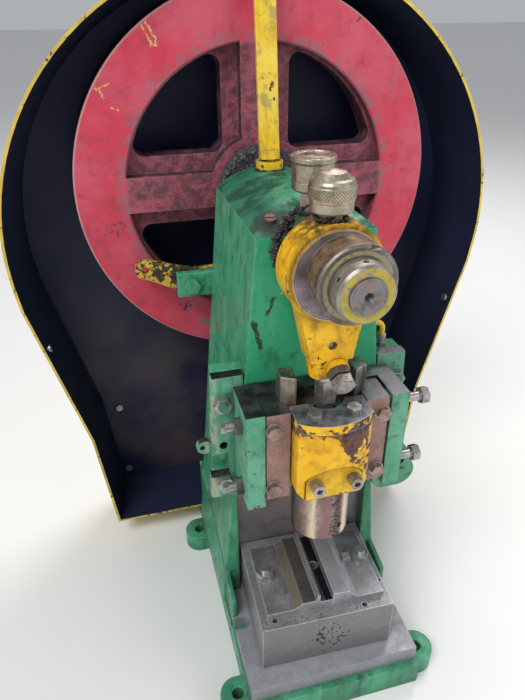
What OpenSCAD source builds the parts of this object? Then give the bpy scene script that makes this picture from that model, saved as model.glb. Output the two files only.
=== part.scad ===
// Bench eccentric press: cast C frame, flywheel in a pan guard, adjustable eccentric, ram and die.
// Millimetres. X runs to the right, Y to the back, Z up. The origin is on the floor under the ram axis.

/* [Foot and bed] */
// Width of the foot between its bolt lugs
foot_w = 200; // [180:1:230]
// Distance from the ram axis to the front edge of the foot
foot_front = 90; // [84:1:120]
// Distance from the ram axis to the rear edge of the foot
foot_back = 326; // [320:1:360]
// Height of the foot
foot_h = 34; // [28:1:44]
// How far the bolt lugs stand out from the sides of the foot
lug_out = 30; // [26:1:40]
// Width of a bolt lug
lug_w = 40; // [34:1:56]
// Diameter of the floor bolt holes
foot_hole_d = 14; // [10:0.5:18]
// Width of the bolster plate
bed_w = 196; // [190:1:210]
// Distance from the ram axis to the front edge of the bolster plate
bed_front = 81.5; // [70:0.5:84]
// Thickness of the bolster plate
bed_t = 20; // [14:1:28]
// Width of the open slot in each side of the bolster plate
bed_slot_w = 16; // [12:0.5:18]
// Depth of the open slot in each side of the bolster plate
bed_slot_len = 19; // [14:1:22]
// Distance from the ram axis back to the front end of the side ribs
rib_y = 13; // [12:1:20]
// Thickness of the low side ribs beside the bolster plate
rib_t = 5; // [4:0.5:8]
// Height of the side ribs above the floor at their front end
rib_front_z = 80; // [70:1:90]
// Height of the side ribs above the floor at their rear end
rib_rear_z = 124; // [110:1:140]

/* [Column and head] */
// Height of the crankshaft axis above the floor
shaft_z = 508.5; // [500:0.5:520]
// Width of the head at its shoulders
head_w = 114; // [104:1:124]
// Sideways growth of each flank per millimetre of height below the shoulders
flank_slope = 0.0933; // [0.08:0.001:0.1]
// Height of the shoulders above the crankshaft axis
shoulder_up = 11.5; // [8:0.5:16]
// Height of the rounded crown above the shoulders
crown_rise = 20; // [14:1:26]
// Distance from the ram axis to the front face of the head
head_front = 40; // [38:0.5:44]
// Distance from the ram axis to the rear face of the head
head_back = 215; // [205:1:220]
// Height of the lower edge of the head above the floor
head_bottom = 370; // [364:1:376]
// Distance from the ram axis to the machined seat of the column
column_front = 54; // [53.5:0.5:56]
// Distance from the ram axis to the rear of the front bevel of the crown
bevel_back = 100; // [85:1:120]
// Depth that the bevel takes off the crown at the front face
bevel_drop = 20; // [14:1:24]
// Wall of the column round its open rear pocket
column_wall = 20; // [14:1:26]
// Outer diameter of the main bearing bushes
bush_od = 42; // [40:1:44]
// Length of each main bearing bush
bush_len = 60; // [40:1:70]

/* [Guides] */
// Half width of the guide housing over its ears
ear_half = 110; // [106:0.5:114]
// Thickness of the ears of the guide housing
ear_t = 12; // [9:0.5:14]
// Height of the ears above the floor at the bottom
ear_bottom = 225; // [218:1:232]
// Height that the ears reach above the lower edge of the head
ear_up = 12; // [6:1:16]
// Half width of the channel between the forward walls
channel_half = 64; // [63:0.5:66]
// Thickness of the forward walls
wall_t = 18.5; // [14:0.5:22]
// Distance that the forward walls stand in front of the ram axis
wall_front = 15; // [10:0.5:20]
// Height of the lower end of the forward walls above the floor
wall_bottom = 255; // [250:1:259]
// Height of a gib
gib_h = 104; // [96:1:106]
// Distance that the gibs stand in front of the ram axis
gib_front = 13; // [8:0.5:16]
// Height of the gibs' lower end above the floor
gib_bottom = 263; // [260:1:266]
// Distance from the ram axis to the sliding face at the back of the channel
slide_back = 22; // [20:0.5:26]
// Half width of the ram slide across its guide bars
bar_half = 43.5; // [42:0.5:45]
// Running clearance between slide, gibs and housing
slide_gap = 0.12; // [0.05:0.01:0.3]
// Half distance between the housing studs
stud_half = 94; // [92:0.5:97]
// Distance between the upper and lower housing studs
stud_pitch_z = 104; // [96:1:112]

/* [Crank] */
// Diameter of the crankshaft journals
journal_d = 34; // [33:1:36]
// Diameter of the crankshaft front end
nose_d = 30.4; // [26:0.2:34]
// Diameter of the shaft under the flywheel
wheel_seat_d = 32; // [28:1:32]
// Length of the crankshaft in front of the ram axis
nose_out = 74; // [70:0.5:80]
// Throw of the crank pin alone
pin_throw = 3; // [2:0.5:3.5]
// Extra throw of the eccentric bush
bush_throw = 3; // [2:0.5:3.5]
// Angle of the crank from its top position, as modelled
crank_angle = 150; // [140:1:155]
// Diameter of the crank pin
pin_d = 42; // [38:1:44]
// Outer diameter of the eccentric bush
ecc_d = 60; // [58:1:62]
// Diameter of the flange of the eccentric bush
flange_d = 80; // [74:1:84]
// Diameter of the dog ring
dog_d = 68; // [60:1:72]
// Outer diameter of the slotted ring nut
ring_nut_d = 49; // [44:1:54]

/* [Connecting rod] */
// Outer diameter of the big end
big_d = 88; // [84:1:92]
// Thickness of the big end
big_t = 30; // [26:1:31]
// Distance of the rod's middle plane in front of the ram axis
rod_out = 1.5; // [0:0.5:3]
// Distance from the big end's centre to the ball's centre
rod_len = 167; // [164:1:170]
// Width of the neck at its lower end
neck_w = 40; // [36:1:44]
// Width of the neck at the big end
neck_top_w = 62; // [54:1:70]
// Thickness of the neck
neck_t = 26; // [22:1:28]
// Distance from the ball's centre up to the lower end of the neck
neck_end = 64; // [60:1:68]
// Diameter of the ball
ball_d = 28; // [25:1:30]
// Diameter of the ball screw's thread
screw_d = 20; // [18:1:22]
// Width across flats of the ball screw's hexagon
screw_af = 20; // [18:1:22]

/* [Ram] */
// Half width of the ram body
ram_half = 37; // [35:0.5:38]
// Distance that the rounded front stands out from the ram axis
ram_front = 42.5; // [40:0.5:46]
// Distance from the ram axis to the front corners of the body
ram_corner = 30; // [26:0.5:34]
// Height of the ram body without its cap plate
ram_h = 82; // [78:1:88]
// Thickness of the cap plate
cap_t = 10; // [6:0.5:12]
// Distance from the ball's centre up to the top of the ram body
ball_depth = 20; // [19:0.5:22]
// Diameter of the opening in the cap plate
cap_hole_d = 40; // [38:1:42]
// Height of the guide bars
bar_h = 133; // [126:1:140]
// Height that the guide bars reach above the cap plate
bar_up = 29; // [24:1:32]
// Half distance between the clamp screws and between the cap bolts
ram_bolt_half = 19.3; // [18.5:0.1:20]
// Height of the clamp cap
clamp_h = 40; // [36:1:44]
// Half width of the clamp cap
clamp_half = 29; // [28:0.5:30]
// Diameter of the punch holder
holder_d = 61; // [54:1:66]
// Length of the punch holder below the ram
holder_len = 67; // [60:1:76]
// Diameter of the punch holder's shank
shank_d = 25; // [20:1:26]
// Diameter of the tool bore in the punch holder
tool_bore_d = 20; // [12:0.5:24]
// Depth of the tool bore in the punch holder
tool_bore_len = 40; // [30:1:50]

/* [Die] */
// Width of the die block
die_w = 150; // [140:1:160]
// Depth of the die block from front to back
die_d = 122; // [110:1:130]
// Height of the die block
die_h = 66; // [56:1:76]
// Width of the slot between the two die plates
die_slot_w = 15; // [10:0.5:18]
// Thickness of the die plates at their thin edges
die_plate_t = 8; // [6:0.5:10]
// Height of the raised ridges of the die plates
die_ridge_h = 19; // [14:0.5:22]
// Half distance between the die studs
die_stud_half = 58; // [54:0.5:60]

/* [Flywheel] */
// Outer diameter of the flywheel
wheel_d = 422; // [400:1:428]
// Inner diameter of its rim
rim_inner_d = 308; // [290:1:320]
// Width of the rim from front to back
rim_w = 60; // [50:1:62]
// Distance from the ram axis to the flywheel's front face
wheel_front = 243.5; // [241:0.5:246]
// Width of the front rib of each arm
arm_w = 40; // [34:1:46]
// Width of the recessed web behind each arm
web_w = 78; // [70:1:84]
// Depth of the web behind the rim's front face
web_in = 16; // [10:1:20]
// Thickness of the web
web_t = 26; // [20:1:30]
// Diameter of the hub
hub_d = 116; // [108:1:124]
// Corner radius of the openings between the arms
window_r = 12; // [8:1:16]

/* [Guard and stay] */
// Clearance between the flywheel and the round top of the guard
guard_gap = 84; // [79:1:99]
// Height of the centre of the round top below the crankshaft axis
guard_drop = 58.5; // [54:0.5:62]
// Half width of the guard where its flanks bend
guard_waist = 240; // [230:1:250]
// Height of that bend above the floor
guard_waist_z = 190; // [170:1:210]
// Half width of the guard at the foot
guard_foot_half = 224; // [215:1:228]
// Distance from the ram axis to the guard's open front edge
guard_front = 225; // [221:1:228]
// Depth of the guard from front to back
guard_depth = 100; // [96:1:104]
// How far the walls close in towards the back
guard_flare = 14; // [8:1:16]
// Thickness of the guard's sheet
guard_t = 3; // [2:0.5:4]
// Width of the stay bar
stay_w = 22; // [18:1:26]
// Thickness of the stay bar
stay_t = 5; // [4:0.5:7]
// Distance from the ram axis to the foot of the stay bar
stay_y = 200; // [196:1:203]

/* [Trip lever] */
// Distance from the ram axis to the left of the lever's pivot
lever_x = 93; // [90:1:96]
// Height of the lever's pivot above the floor
lever_z = 409; // [400:1:416]
// Thickness of the lever plate
lever_t = 8; // [6:0.5:9]
// Reach of the outer arm beyond the pivot
lever_out = 52; // [46:1:60]
// Reach of the inner arm beyond the pivot
lever_in = 98; // [90:1:104]
// Diameter of the rod hole in the lever's outer end
lever_hole_d = 9; // [7:0.5:11]
// Diameter of the lever's pivot bolt
pivot_d = 12; // [10:1:14]

/* [Grease cups and pipe] */
// Diameter of the front cup's cap
front_cup_d = 39; // [34:1:42]
// Diameter of the rear cup's cap
rear_cup_d = 41; // [36:1:44]
// Height of a grease cup's cap
cup_cap_h = 25; // [20:1:28]
// Distance from the ram axis back to the rear grease cup
rear_cup_y = 58; // [56:1:70]
// Outer diameter of the oil pipe
pipe_d = 6; // [5:0.5:8]

/* [Fits] */
// Radial clearance of running shafts and pins in their bushes
running = 0.05; // [0.02:0.01:0.09]
// Gap between pieces that are fixed to each other
seat = 0.05; // [0.02:0.01:0.1]
// Gap between moving faces that don't guide each other
air = 0.5; // [0.3:0.1:1]

/* [Hidden] */
$fn = 64;
// Smoothness of shapes that come out as flat facets
facets = 32;
// A cut runs this far past the face that it opens
past = 1;

// Colours
green = [0.13, 0.52, 0.38];
yellow = [0.93, 0.72, 0.06];
red = [0.62, 0.14, 0.12];
dark_steel = [0.25, 0.24, 0.25];
bare_steel = [0.62, 0.60, 0.58];
brown_iron = [0.45, 0.32, 0.26];
bronze = [0.55, 0.38, 0.16];

// Bed and die heights
bed_z = foot_h + bed_t;
block_top = bed_z + die_h;
rib_outer = bed_w / 2;
rib_inner = rib_outer - rib_t;
rib_end = guard_front - 2;

// Die block and the relief behind it
die_x = -2.9;
die_y = -1;
die_turn = 1.8;
relief_half = 79.5;
relief_y = die_y + die_d / 2 + die_w / 2 * sin(die_turn) + 0.8;

// Head
shoulder_z = shaft_z + shoulder_up;
crown_z = shoulder_z + crown_rise;
crown_r = (pow(head_w / 2, 2) + pow(crown_rise, 2)) / (2 * crown_rise);
bevel_fall = bevel_drop / (bevel_back - head_front);
bush_r = bush_od / 2;
rail_step = 2;
boss_r = bush_r + 4;
boss_front = head_front - 2;
boss_back = head_back + 1.5;
bush_flange_t = 3;

// Half width of the casting at height z
function flank(z) = head_w / 2 + flank_slope * (shoulder_z - z);

// Height of the bevelled crown at distance y behind the ram axis
function bevel_z(y) = crown_z - bevel_fall * (bevel_back - y);

// Crank, with the throw of the pin and of the bush set in line
throw = pin_throw + bush_throw;
ecc_dir = [-sin(crank_angle), cos(crank_angle)];
pin_x = pin_throw * ecc_dir[0];
pin_z = shaft_z + pin_throw * ecc_dir[1];
big_x = throw * ecc_dir[0];
big_z = shaft_z + throw * ecc_dir[1];
journal_r = journal_d / 2;
rod_front = -rod_out - big_t / 2;
rod_back = -rod_out + big_t / 2;
flange_t = 5;
flange_front = rod_front - air - flange_t;
rod_bush_t = 4;
rod_bush_r = ecc_d / 2 + running + rod_bush_t;

// Rod and ball
ball_r = ball_d / 2;
rod_drop = sqrt(pow(rod_len, 2) - pow(big_x, 2));
ball_z = big_z - rod_drop;
rod_lean = asin(-big_x / rod_len);
neck_low = ball_z + neck_end;

// Ram
body_top = ball_z + ball_depth;
body_bottom = body_top - ram_h;
cap_top = body_top + cap_t;
bar_top = cap_top + bar_up;
bar_bottom = bar_top - bar_h;
cavity_r = cap_hole_d / 2 + 1;
shank_r = shank_d / 2;
holder_bottom = body_bottom - holder_len;
ram_rise = 10;

// Guides
housing_top = head_bottom - 0.3;
ear_top = head_bottom + ear_up;
ear_back = column_front - rail_step;
ear_front = ear_back - ear_t;
wall_outer = channel_half + wall_t;
channel_back = slide_back + slide_gap;
gib_top = gib_bottom + gib_h;
gib_inner = ram_half + 1.5;
gib_outer = channel_half - 1.6;
stud_top_z = ear_top - 30;
stud_zs = [stud_top_z, stud_top_z - stud_pitch_z];
gib_bolt_zs = [gib_bottom + 15, gib_top - 17];
gib_bolt_x = (gib_inner + gib_outer) / 2 + 5;
gib_screw_zs = [wall_bottom + 14, housing_top - 24];
gib_screw_y = 8;
gib_screw_d = 10;
flange_back = ear_back + 16;
flange_half = ear_half - 4;

// Flywheel and clutch
wheel_r = wheel_d / 2;
wheel_back = wheel_front + rim_w;
seat_r = wheel_seat_d / 2;
wheel_bush_r = seat_r + 5;
clutch_front = head_back + 9;
clutch_r = 49;
collar_front = boss_back + bush_flange_t + air;
collar_r = 34;

// Guard
guard_cz = shaft_z - guard_drop;
guard_back = guard_front + guard_depth;

// Puts a drawing of X and Z between two distances from the ram axis
module across(y0, y1) {
    translate([0, y1, 0]) rotate([90, 0, 0]) linear_extrude(y1 - y0) children();
}

// Puts a drawing of Y and Z between two sideways distances
module sideways(x0, x1) {
    translate([x0, 0, 0]) rotate([90, 0, 90]) linear_extrude(x1 - x0) children();
}

// Puts a drawing of X and Y between two heights
module upright(z0, z1) {
    translate([0, 0, z0]) linear_extrude(z1 - z0) children();
}

// Rod along Y
module rod_y(x, z, y0, y1, r) {
    translate([x, y0, z]) rotate([-90, 0, 0]) cylinder(h = y1 - y0, r = r);
}

// Rod along X
module rod_x(y, z, x0, x1, r) {
    translate([x0, y, z]) rotate([0, 90, 0]) cylinder(h = x1 - x0, r = r);
}

// Tube along Y
module tube_y(x, z, y0, y1, r, bore) {
    difference() {
        rod_y(x, z, y0, y1, r);
        rod_y(x, z, y0 - past, y1 + past, bore);
    }
}

// Hexagon of a width across flats, standing on z = 0
module hex(af, h) {
    cylinder(h = h, r = af / sqrt(3), $fn = 6);
}

// Hexagon along Y
module hex_y(x, z, y0, y1, af) {
    translate([x, y0, z]) rotate([-90, 0, 0]) hex(af, y1 - y0);
}

// Hexagon along X
module hex_x(y, z, x0, x1, af) {
    translate([x0, y, z]) rotate([0, 90, 0]) hex(af, x1 - x0);
}

// Copies on both sides of the middle plane
module both_sides() {
    for (side = [0, 1]) mirror([side, 0, 0]) children();
}

// Outline of the column and head, seen from the front
module column_outline(z0, z1) {
    polygon([
        [-flank(z0), z0], [flank(z0), z0],
        [flank(z1), z1], [-flank(z1), z1]
    ]);
}

module head_outline() {
    column_outline(head_bottom, shoulder_z);
    intersection() {
        translate([0, crown_z - crown_r]) circle(r = crown_r);
        translate([-head_w / 2, shoulder_z - past]) square([head_w, crown_rise + 2 * past]);
    }
}

module foot_lugs(y) {
    reach = foot_w / 2 + lug_out;
    hull() {
        for (side = [-1, 1]) translate([side * (reach - lug_w / 2), y, 0])
            cylinder(h = foot_h - 10, r = lug_w / 2, $fn = facets);
    }
}

foot_hole_x = foot_w / 2 + lug_out - lug_w / 2;
foot_hole_ys = [-foot_front + lug_w / 2 + 8, guard_front - lug_w / 2 - 15];

// Cast frame: foot, ribs, column with an open rear pocket, head with the bearing bore
module frame_form() {
    difference() {
        union() {
            translate([-foot_w / 2, -foot_front, 0]) cube([foot_w, foot_front + foot_back, foot_h]);
            for (y = foot_hole_ys) foot_lugs(y);
            across(column_front, head_back) column_outline(foot_h - past, head_bottom);
            across(head_front, head_back) head_outline();
            both_sides() {
                // Rail beside the machined seat
                across(ear_back, column_front + past)
                    polygon([[80, foot_h - past], [flank(foot_h), foot_h - past],
                        [flank(head_bottom), head_bottom], [70, head_bottom], [70, ear_bottom], [80, ear_bottom]]);
                // Low side rib
                sideways(rib_inner, rib_outer)
                    polygon([[rib_y, foot_h - past], [rib_end, foot_h - past],
                        [rib_end, rib_rear_z], [rib_y, rib_front_z]]);
                // Flange that carries the ears of the guide housing
                across(ear_back, flange_back)
                    polygon([[flank(ear_bottom) - 12, ear_bottom + 7], [flange_half, ear_bottom + 7],
                        [flange_half - 5, ear_top], [flank(ear_top) - 12, ear_top]]);
            }
            // Lug of the trip lever
            across(head_back - 10, head_back)
                polygon([[-lever_x - 17, lever_z - 14], [-flank(lever_z) + 10, lever_z - 14],
                    [-flank(lever_z) + 10, lever_z + 15], [-lever_x - 17, lever_z + 15]]);
            // Bearing bosses
            rod_y(0, shaft_z, head_back - past, boss_back, boss_r);
        }
        // Bevel at the front of the crown
        sideways(-head_w, head_w)
            polygon([[head_front - 5, bevel_z(head_front - 5)], [bevel_back, crown_z],
                [bevel_back, crown_z + 2], [head_front - 5, crown_z + 2]]);
    }
    // Bearing boss that the bevel leaves standing
    rod_y(0, shaft_z, boss_front, bevel_back, boss_r);
}

module frame_casting() {
    pocket_z0 = foot_h + 14;
    pocket_z1 = head_bottom - 24;
    pocket_y = column_front + column_wall + 6;
    color(green) difference() {
        frame_form();
        // Bearing bore
        rod_y(0, shaft_z, head_front - 10, head_back + 10, bush_r + seat);
        // Open pocket in the back of the column
        across(pocket_y, head_back + 20)
            polygon([
                [-flank(pocket_z0) + column_wall, pocket_z0], [flank(pocket_z0) - column_wall, pocket_z0],
                [flank(pocket_z1) - column_wall, pocket_z1], [-flank(pocket_z1) + column_wall, pocket_z1]
            ]);
        // Relief below the guide housing, behind the die
        across(ear_back - past, relief_y)
            polygon([[-relief_half, foot_h], [relief_half, foot_h],
                [relief_half, wall_bottom - 10], [-relief_half, wall_bottom - 10]]);
        // Floor bolt holes
        for (x = [-foot_hole_x, foot_hole_x], y = foot_hole_ys)
            translate([x, y, -past]) cylinder(h = foot_h + 2 * past, r = foot_hole_d / 2);
        // Holes for the bolster screws, guard bolts, housing studs, lever bolt and crown screws
        for (p = bolster_screw_places()) translate([p[0], p[1], -past]) {
            cylinder(h = foot_h + 2 * past, r = 5 + seat);
            cylinder(h = bolster_sink + past, r = 8.5);
        }
        for (x = guard_bolt_xs) translate([x, guard_bolt_y, foot_h - 16]) cylinder(h = 20, r = 4 + seat);
        for (x = [-stud_half, stud_half], z = stud_zs)
            rod_y(x, z, ear_back - past, flange_back + past, stud_r + seat);
        rod_y(-lever_x, lever_z, head_back - 12, head_back + past, pivot_d / 2 + seat);
        for (p = crown_screw_places) on_bevel(p) translate([0, 0, -16]) cylinder(h = 20, r = 3.5 + seat);
        translate([0, rear_cup_y, rear_cup_z - 30]) cylinder(h = 40, r = cup_stem_r + seat);
        translate([0, rear_cup_y, rear_cup_z - seat]) cylinder(h = 20, r = 12);
        translate([0, stay_y, crown_z - stay_stud_in]) cylinder(h = 20, r = stay_stud_r - 0.5 + seat);
        // Seat of the oil pipe's union in the flange and of the pipe in the head
        translate([pipe_x, pipe_y, ear_top - 8]) cylinder(h = 10, r = pipe_d / 2 + seat);
        rod_x(pipe_y, pipe_top_z, flank(pipe_top_z) - 6, flank(pipe_top_z) + 6, pipe_d / 2 + seat);
        // Window behind the open edge of the left ear
        across(ear_back - past, flange_back + past)
            translate([-ear_half - past, window_z]) square([ear_half + past - window_x, window_h]);
        // Tapped hole in the left ear runs on into the flange
        rod_y(-stud_half, ear_hole_z, ear_back - past, ear_back + 10, ear_hole_r);
    }
}

// Bolster plate with two open slots, narrower between the ribs
bolster_back = 50;
bolster_sink = 13;
bed_slot_y = 2;
function bolster_screw_places() = [
    for (x = [-bed_w / 2 + 13, bed_w / 2 - 13], y = [-bed_front + 14, bolster_back - 14])
        [x < 0 ? max(x, -rib_inner + 10) : min(x, rib_inner - 10), y]
];

module bolster_plate() {
    color(dark_steel) difference() {
        union() {
            translate([-bed_w / 2, -bed_front, foot_h]) cube([bed_w, bed_front + rib_y - 0.5, bed_t]);
            translate([-rib_inner + 0.5, 0, foot_h]) cube([2 * rib_inner - 1, bolster_back, bed_t]);
            translate([-relief_half + 0.5, 0, foot_h]) cube([2 * relief_half - 1, relief_y - 0.5, bed_t]);
        }
        both_sides() upright(foot_h - past, bed_z + past) {
            translate([bed_w / 2 - bed_slot_len + bed_slot_w / 2, bed_slot_y]) circle(d = bed_slot_w);
            translate([bed_w / 2 - bed_slot_len + bed_slot_w / 2, bed_slot_y - bed_slot_w / 2])
                square([bed_slot_len, bed_slot_w]);
        }
        for (p = bolster_screw_places()) translate([p[0], p[1], foot_h - past])
            cylinder(h = bed_t - 5 + past, r = 5 + seat);
    }
}

// Socket head screws that hold the bolster plate from below, sunk into the foot
module bolster_screws() {
    color(dark_steel) for (p = bolster_screw_places()) difference() {
        union() {
            translate([p[0], p[1], bolster_sink - past]) cylinder(h = bed_z - 6 - bolster_sink + past, r = 5);
            translate([p[0], p[1], bolster_sink - 10]) cylinder(h = 10, r = 8);
        }
        translate([p[0], p[1], bolster_sink - 11]) hex(8, 7);
    }
}

// Die block with its studs and two plates that leave a slot for the strip.
// Its own frame has its origin on the block's top face, in the middle.
die_stud_r = 5;
die_stud_y = 0.5;
plate_front = -die_d / 2 + 12.5;
plate_back = die_d / 2 - 17;
plate_half = die_w / 2 - 8;
plate_floor = 12;
stop_half = 4.5;

module on_die(z = 0) {
    translate([die_x, die_y, block_top + z]) rotate([0, 0, -die_turn]) children();
}

module die_block() {
    color(dark_steel) on_die() difference() {
        translate([-die_w / 2, -die_d / 2, -die_h]) cube([die_w, die_d, die_h]);
        translate([0, die_stud_y, -die_h - past]) cylinder(h = die_h + 2 * past, r = die_slot_w / 2);
        for (side = [-1, 1]) translate([side * die_stud_half, die_stud_y, -24])
            cylinder(h = 26, r = die_stud_r + seat);
        for (p = [[-59, -51], [43, -54.5], [71, -28]]) translate([p[0], p[1], -12])
            cylinder(h = 14, r = p[0] > 70 ? 2.2 : 3.2);
    }
}

// Left plate: thin edge, chamfered ridge, upright lip and the floor of the slot
module die_profile_left() {
    polygon([
        [-plate_half, 0], [die_slot_w / 2 - seat, 0], [die_slot_w / 2 - seat, plate_floor],
        [-die_slot_w / 2, plate_floor], [-die_slot_w / 2, die_ridge_h + 3.5],
        [-die_slot_w / 2 - 2, die_ridge_h + 3.5], [-die_slot_w / 2 - 4, die_ridge_h - 4],
        [-26.7, die_ridge_h - 4], [-36.3, die_plate_t], [-plate_half, die_plate_t]
    ]);
}

// Right plate: thin edge and a higher chamfered ridge that slopes up to the slot
module die_profile_right() {
    polygon([
        [die_slot_w / 2, 0], [plate_half, 0], [plate_half, die_plate_t],
        [36.3, die_plate_t], [26, die_ridge_h], [die_slot_w / 2, die_ridge_h + 2]
    ]);
}

module die_plate_cuts() {
    for (side = [-1, 1]) translate([side * die_stud_half, die_stud_y, -past])
        cylinder(h = die_ridge_h + 2 * past, r = die_stud_r + 0.5);
    translate([0, die_stud_y, -past]) cylinder(h = plate_floor + 2 * past, r = 5);
}

module die_plate_left() {
    color(dark_steel) on_die() difference() {
        across(plate_front, plate_back) die_profile_left();
        die_plate_cuts();
    }
}

module die_plate_right() {
    color(dark_steel) on_die() difference() {
        across(plate_front, plate_back) die_profile_right();
        die_plate_cuts();
    }
}

module at_die_studs(z) {
    on_die(z) for (side = [-1, 1]) translate([side * die_stud_half, die_stud_y, 0]) children();
}

module die_studs() {
    color(bare_steel) at_die_studs(-22) cylinder(h = 22 + die_plate_t + 15, r = die_stud_r);
}

module die_washers() {
    color(bare_steel) at_die_studs(die_plate_t) difference() {
        cylinder(h = 2, r = 10.5);
        translate([0, 0, -past]) cylinder(h = 4, r = die_stud_r + 0.3);
    }
}

module die_nuts() {
    color(bare_steel) at_die_studs(die_plate_t + 2) difference() {
        hex(17, 8.5);
        translate([0, 0, -past]) cylinder(h = 11, r = die_stud_r + seat);
    }
}

module die_stop() {
    color(dark_steel) on_die(die_plate_t) translate([36.3 + stop_half + 0.6, 4, 0]) difference() {
        translate([-stop_half, -stop_half, 0]) cube([2 * stop_half, 2 * stop_half, 5]);
        translate([0, 0, 3]) cylinder(h = 3, r = 2.2);
    }
}

// Guide housing: ears, forward walls and back of the channel in one casting
ear_hole_z = ear_bottom + 73;
ear_hole_r = 4.6;
window_x = 88;
window_z = ear_bottom + 31;
window_h = 31;
stud_r = 5;

// Rounded lug that reaches out below the right ear
lug_front = ear_front - 8;
lug_r = 20;

module right_lug() {
    difference() {
        union() {
            translate([110, ear_bottom - 5]) circle(r = lug_r);
            translate([93, ear_bottom - 10]) circle(r = 15);
            polygon([[78, ear_bottom - 10], [93, ear_bottom - 25], [110, ear_bottom - 25],
                [127, ear_bottom + 6], [120, ear_bottom + 26], [102, ear_bottom + 49], [78, ear_bottom + 49]]);
        }
        translate([111, ear_bottom + 12]) circle(r = 5);
    }
}

module guide_housing() {
    color(green) difference() {
        union() {
            // Back of the channel between the ears
            across(channel_back, ear_back)
                polygon([[-wall_outer, wall_bottom - 8], [wall_outer, wall_bottom - 8],
                    [wall_outer, housing_top], [-wall_outer, housing_top]]);
            both_sides() {
                across(ear_front, ear_back)
                    polygon([[flank(head_bottom) + 1, ear_bottom], [ear_half, ear_bottom + 3],
                        [ear_half - 7, ear_top], [flank(head_bottom) + 1, ear_top]]);
                across(-wall_front, channel_back + past)
                    polygon([[channel_half, wall_bottom], [wall_outer, wall_bottom],
                        [wall_outer, housing_top], [channel_half, housing_top]]);
            }
            across(lug_front, ear_back) right_lug();
            rod_y(111, ear_bottom - 5, lug_front - 4, ear_front, 7);
            // Eye on the left edge
            rod_y(-ear_half - 4, ear_bottom + 72, ear_front + 3, ear_front + 10, 8);
        }
        for (x = [-stud_half, stud_half], z = stud_zs)
            rod_y(x, z, ear_front - 10, ear_back + past, stud_r + seat);
        // Pocket of the lower right nut in the lug
        rod_y(stud_half, stud_zs[1], lug_front - past, ear_front, 12.5);
        // Scallop that clears the punch holder as the ram rises
        translate([0, 0, wall_bottom - 10])
            cylinder(h = body_bottom + ram_rise + 2 - wall_bottom + 10, r = holder_d / 2 + 2);
        rod_y(-stud_half, ear_hole_z, ear_front - past, ear_back + past, ear_hole_r);
        rod_y(-ear_half - 6, ear_bottom + 72, ear_front, ear_front + 12, 2.6);
        across(ear_front - past, ear_back + past)
            translate([-ear_half - past, window_z]) square([ear_half + past - window_x, window_h]);
        for (x = [-gib_bolt_x, gib_bolt_x], z = gib_bolt_zs)
            rod_y(x, z, channel_back - past, channel_back + 18, 4 + seat);
        for (side = [0, 1], z = gib_screw_zs) mirror([side, 0, 0])
            rod_x(gib_screw_y, z, channel_half - past, wall_outer + past, gib_screw_d / 2 + seat);
    }
}

module housing_studs() {
    color(bare_steel) for (x = [-stud_half, stud_half], z = stud_zs)
        rod_y(x, z, ear_front - 9.5, flange_back - 1, stud_r);
}

module housing_nuts() {
    color(bare_steel) for (x = [-stud_half, stud_half], z = stud_zs) difference() {
        hex_y(x, z, ear_front - 7.5, ear_front, 16);
        rod_y(x, z, ear_front - 10, ear_front + past, stud_r + seat);
    }
}

// Plan of the right gib: its inner back corner slants along the guide bar
vee_x0 = 30;
vee_y0 = -1;
vee_x1 = bar_half;
vee_y1 = 6.5;
vee_rise = (vee_y1 - vee_y0) / (vee_x1 - vee_x0);

// Distance from the ram axis to the slanted bar face at sideways distance x
function vee(x) = vee_y0 + vee_rise * (x - vee_x0);

module gib_plan() {
    vee_gap = slide_gap * sqrt(1 + vee_rise * vee_rise);
    polygon([
        [gib_inner, -gib_front], [gib_outer, -gib_front], [gib_outer, channel_back - seat],
        [bar_half + slide_gap, channel_back - seat],
        [bar_half + slide_gap, vee(bar_half + slide_gap) - vee_gap],
        [gib_inner, vee(gib_inner) - vee_gap]
    ]);
}

module gib() {
    difference() {
        upright(gib_bottom, gib_top) gib_plan();
        for (z = gib_bolt_zs) rod_y(gib_bolt_x, z, -gib_front - past, channel_back + past, 4.4);
    }
}

module gib_left() {
    color(brown_iron) mirror([1, 0, 0]) gib();
}

module gib_right() {
    color(brown_iron) gib();
}

module gib_washers() {
    color(dark_steel) for (x = [-gib_bolt_x, gib_bolt_x], z = gib_bolt_zs)
        tube_y(x, z, -gib_front - 1.6, -gib_front, 8, 4.3);
}

module gib_bolts() {
    color(bare_steel) for (x = [-gib_bolt_x, gib_bolt_x], z = gib_bolt_zs) {
        hex_y(x, z, -gib_front - 7, -gib_front - 1.6, 13);
        rod_y(x, z, -gib_front - 3, channel_back + 16, 4);
    }
}

// Screws that press the gibs against the guide bars, with square or hexagonal outer ends
module gib_adjusting_screws() {
    color(bare_steel) for (z = gib_screw_zs) {
        mirror([1, 0, 0]) {
            rod_x(gib_screw_y, z, gib_outer + seat, wall_outer + 15, gib_screw_d / 2);
            translate([wall_outer + 14, gib_screw_y - 3.4, z - 3.4]) cube([6, 6.8, 6.8]);
        }
        rod_x(gib_screw_y, z, gib_outer + seat, wall_outer + 26, gib_screw_d / 2);
        hex_x(gib_screw_y, z, wall_outer + 25, wall_outer + 33, 16);
    }
}

module gib_lock_nuts() {
    color(bare_steel) both_sides() for (z = gib_screw_zs) difference() {
        hex_x(gib_screw_y, z, wall_outer, wall_outer + 7, 16);
        rod_x(gib_screw_y, z, wall_outer - past, wall_outer + 8, gib_screw_d / 2 + seat);
    }
}

// Main bearing bushes with a flange at the outer end

module main_bush() {
    difference() {
        union() {
            cylinder(h = bush_len, r = bush_r);
            translate([0, 0, -bush_flange_t]) cylinder(h = bush_flange_t, r = boss_r);
        }
        translate([0, 0, -10]) cylinder(h = bush_len + 20, r = journal_r + running);
    }
}

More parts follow.
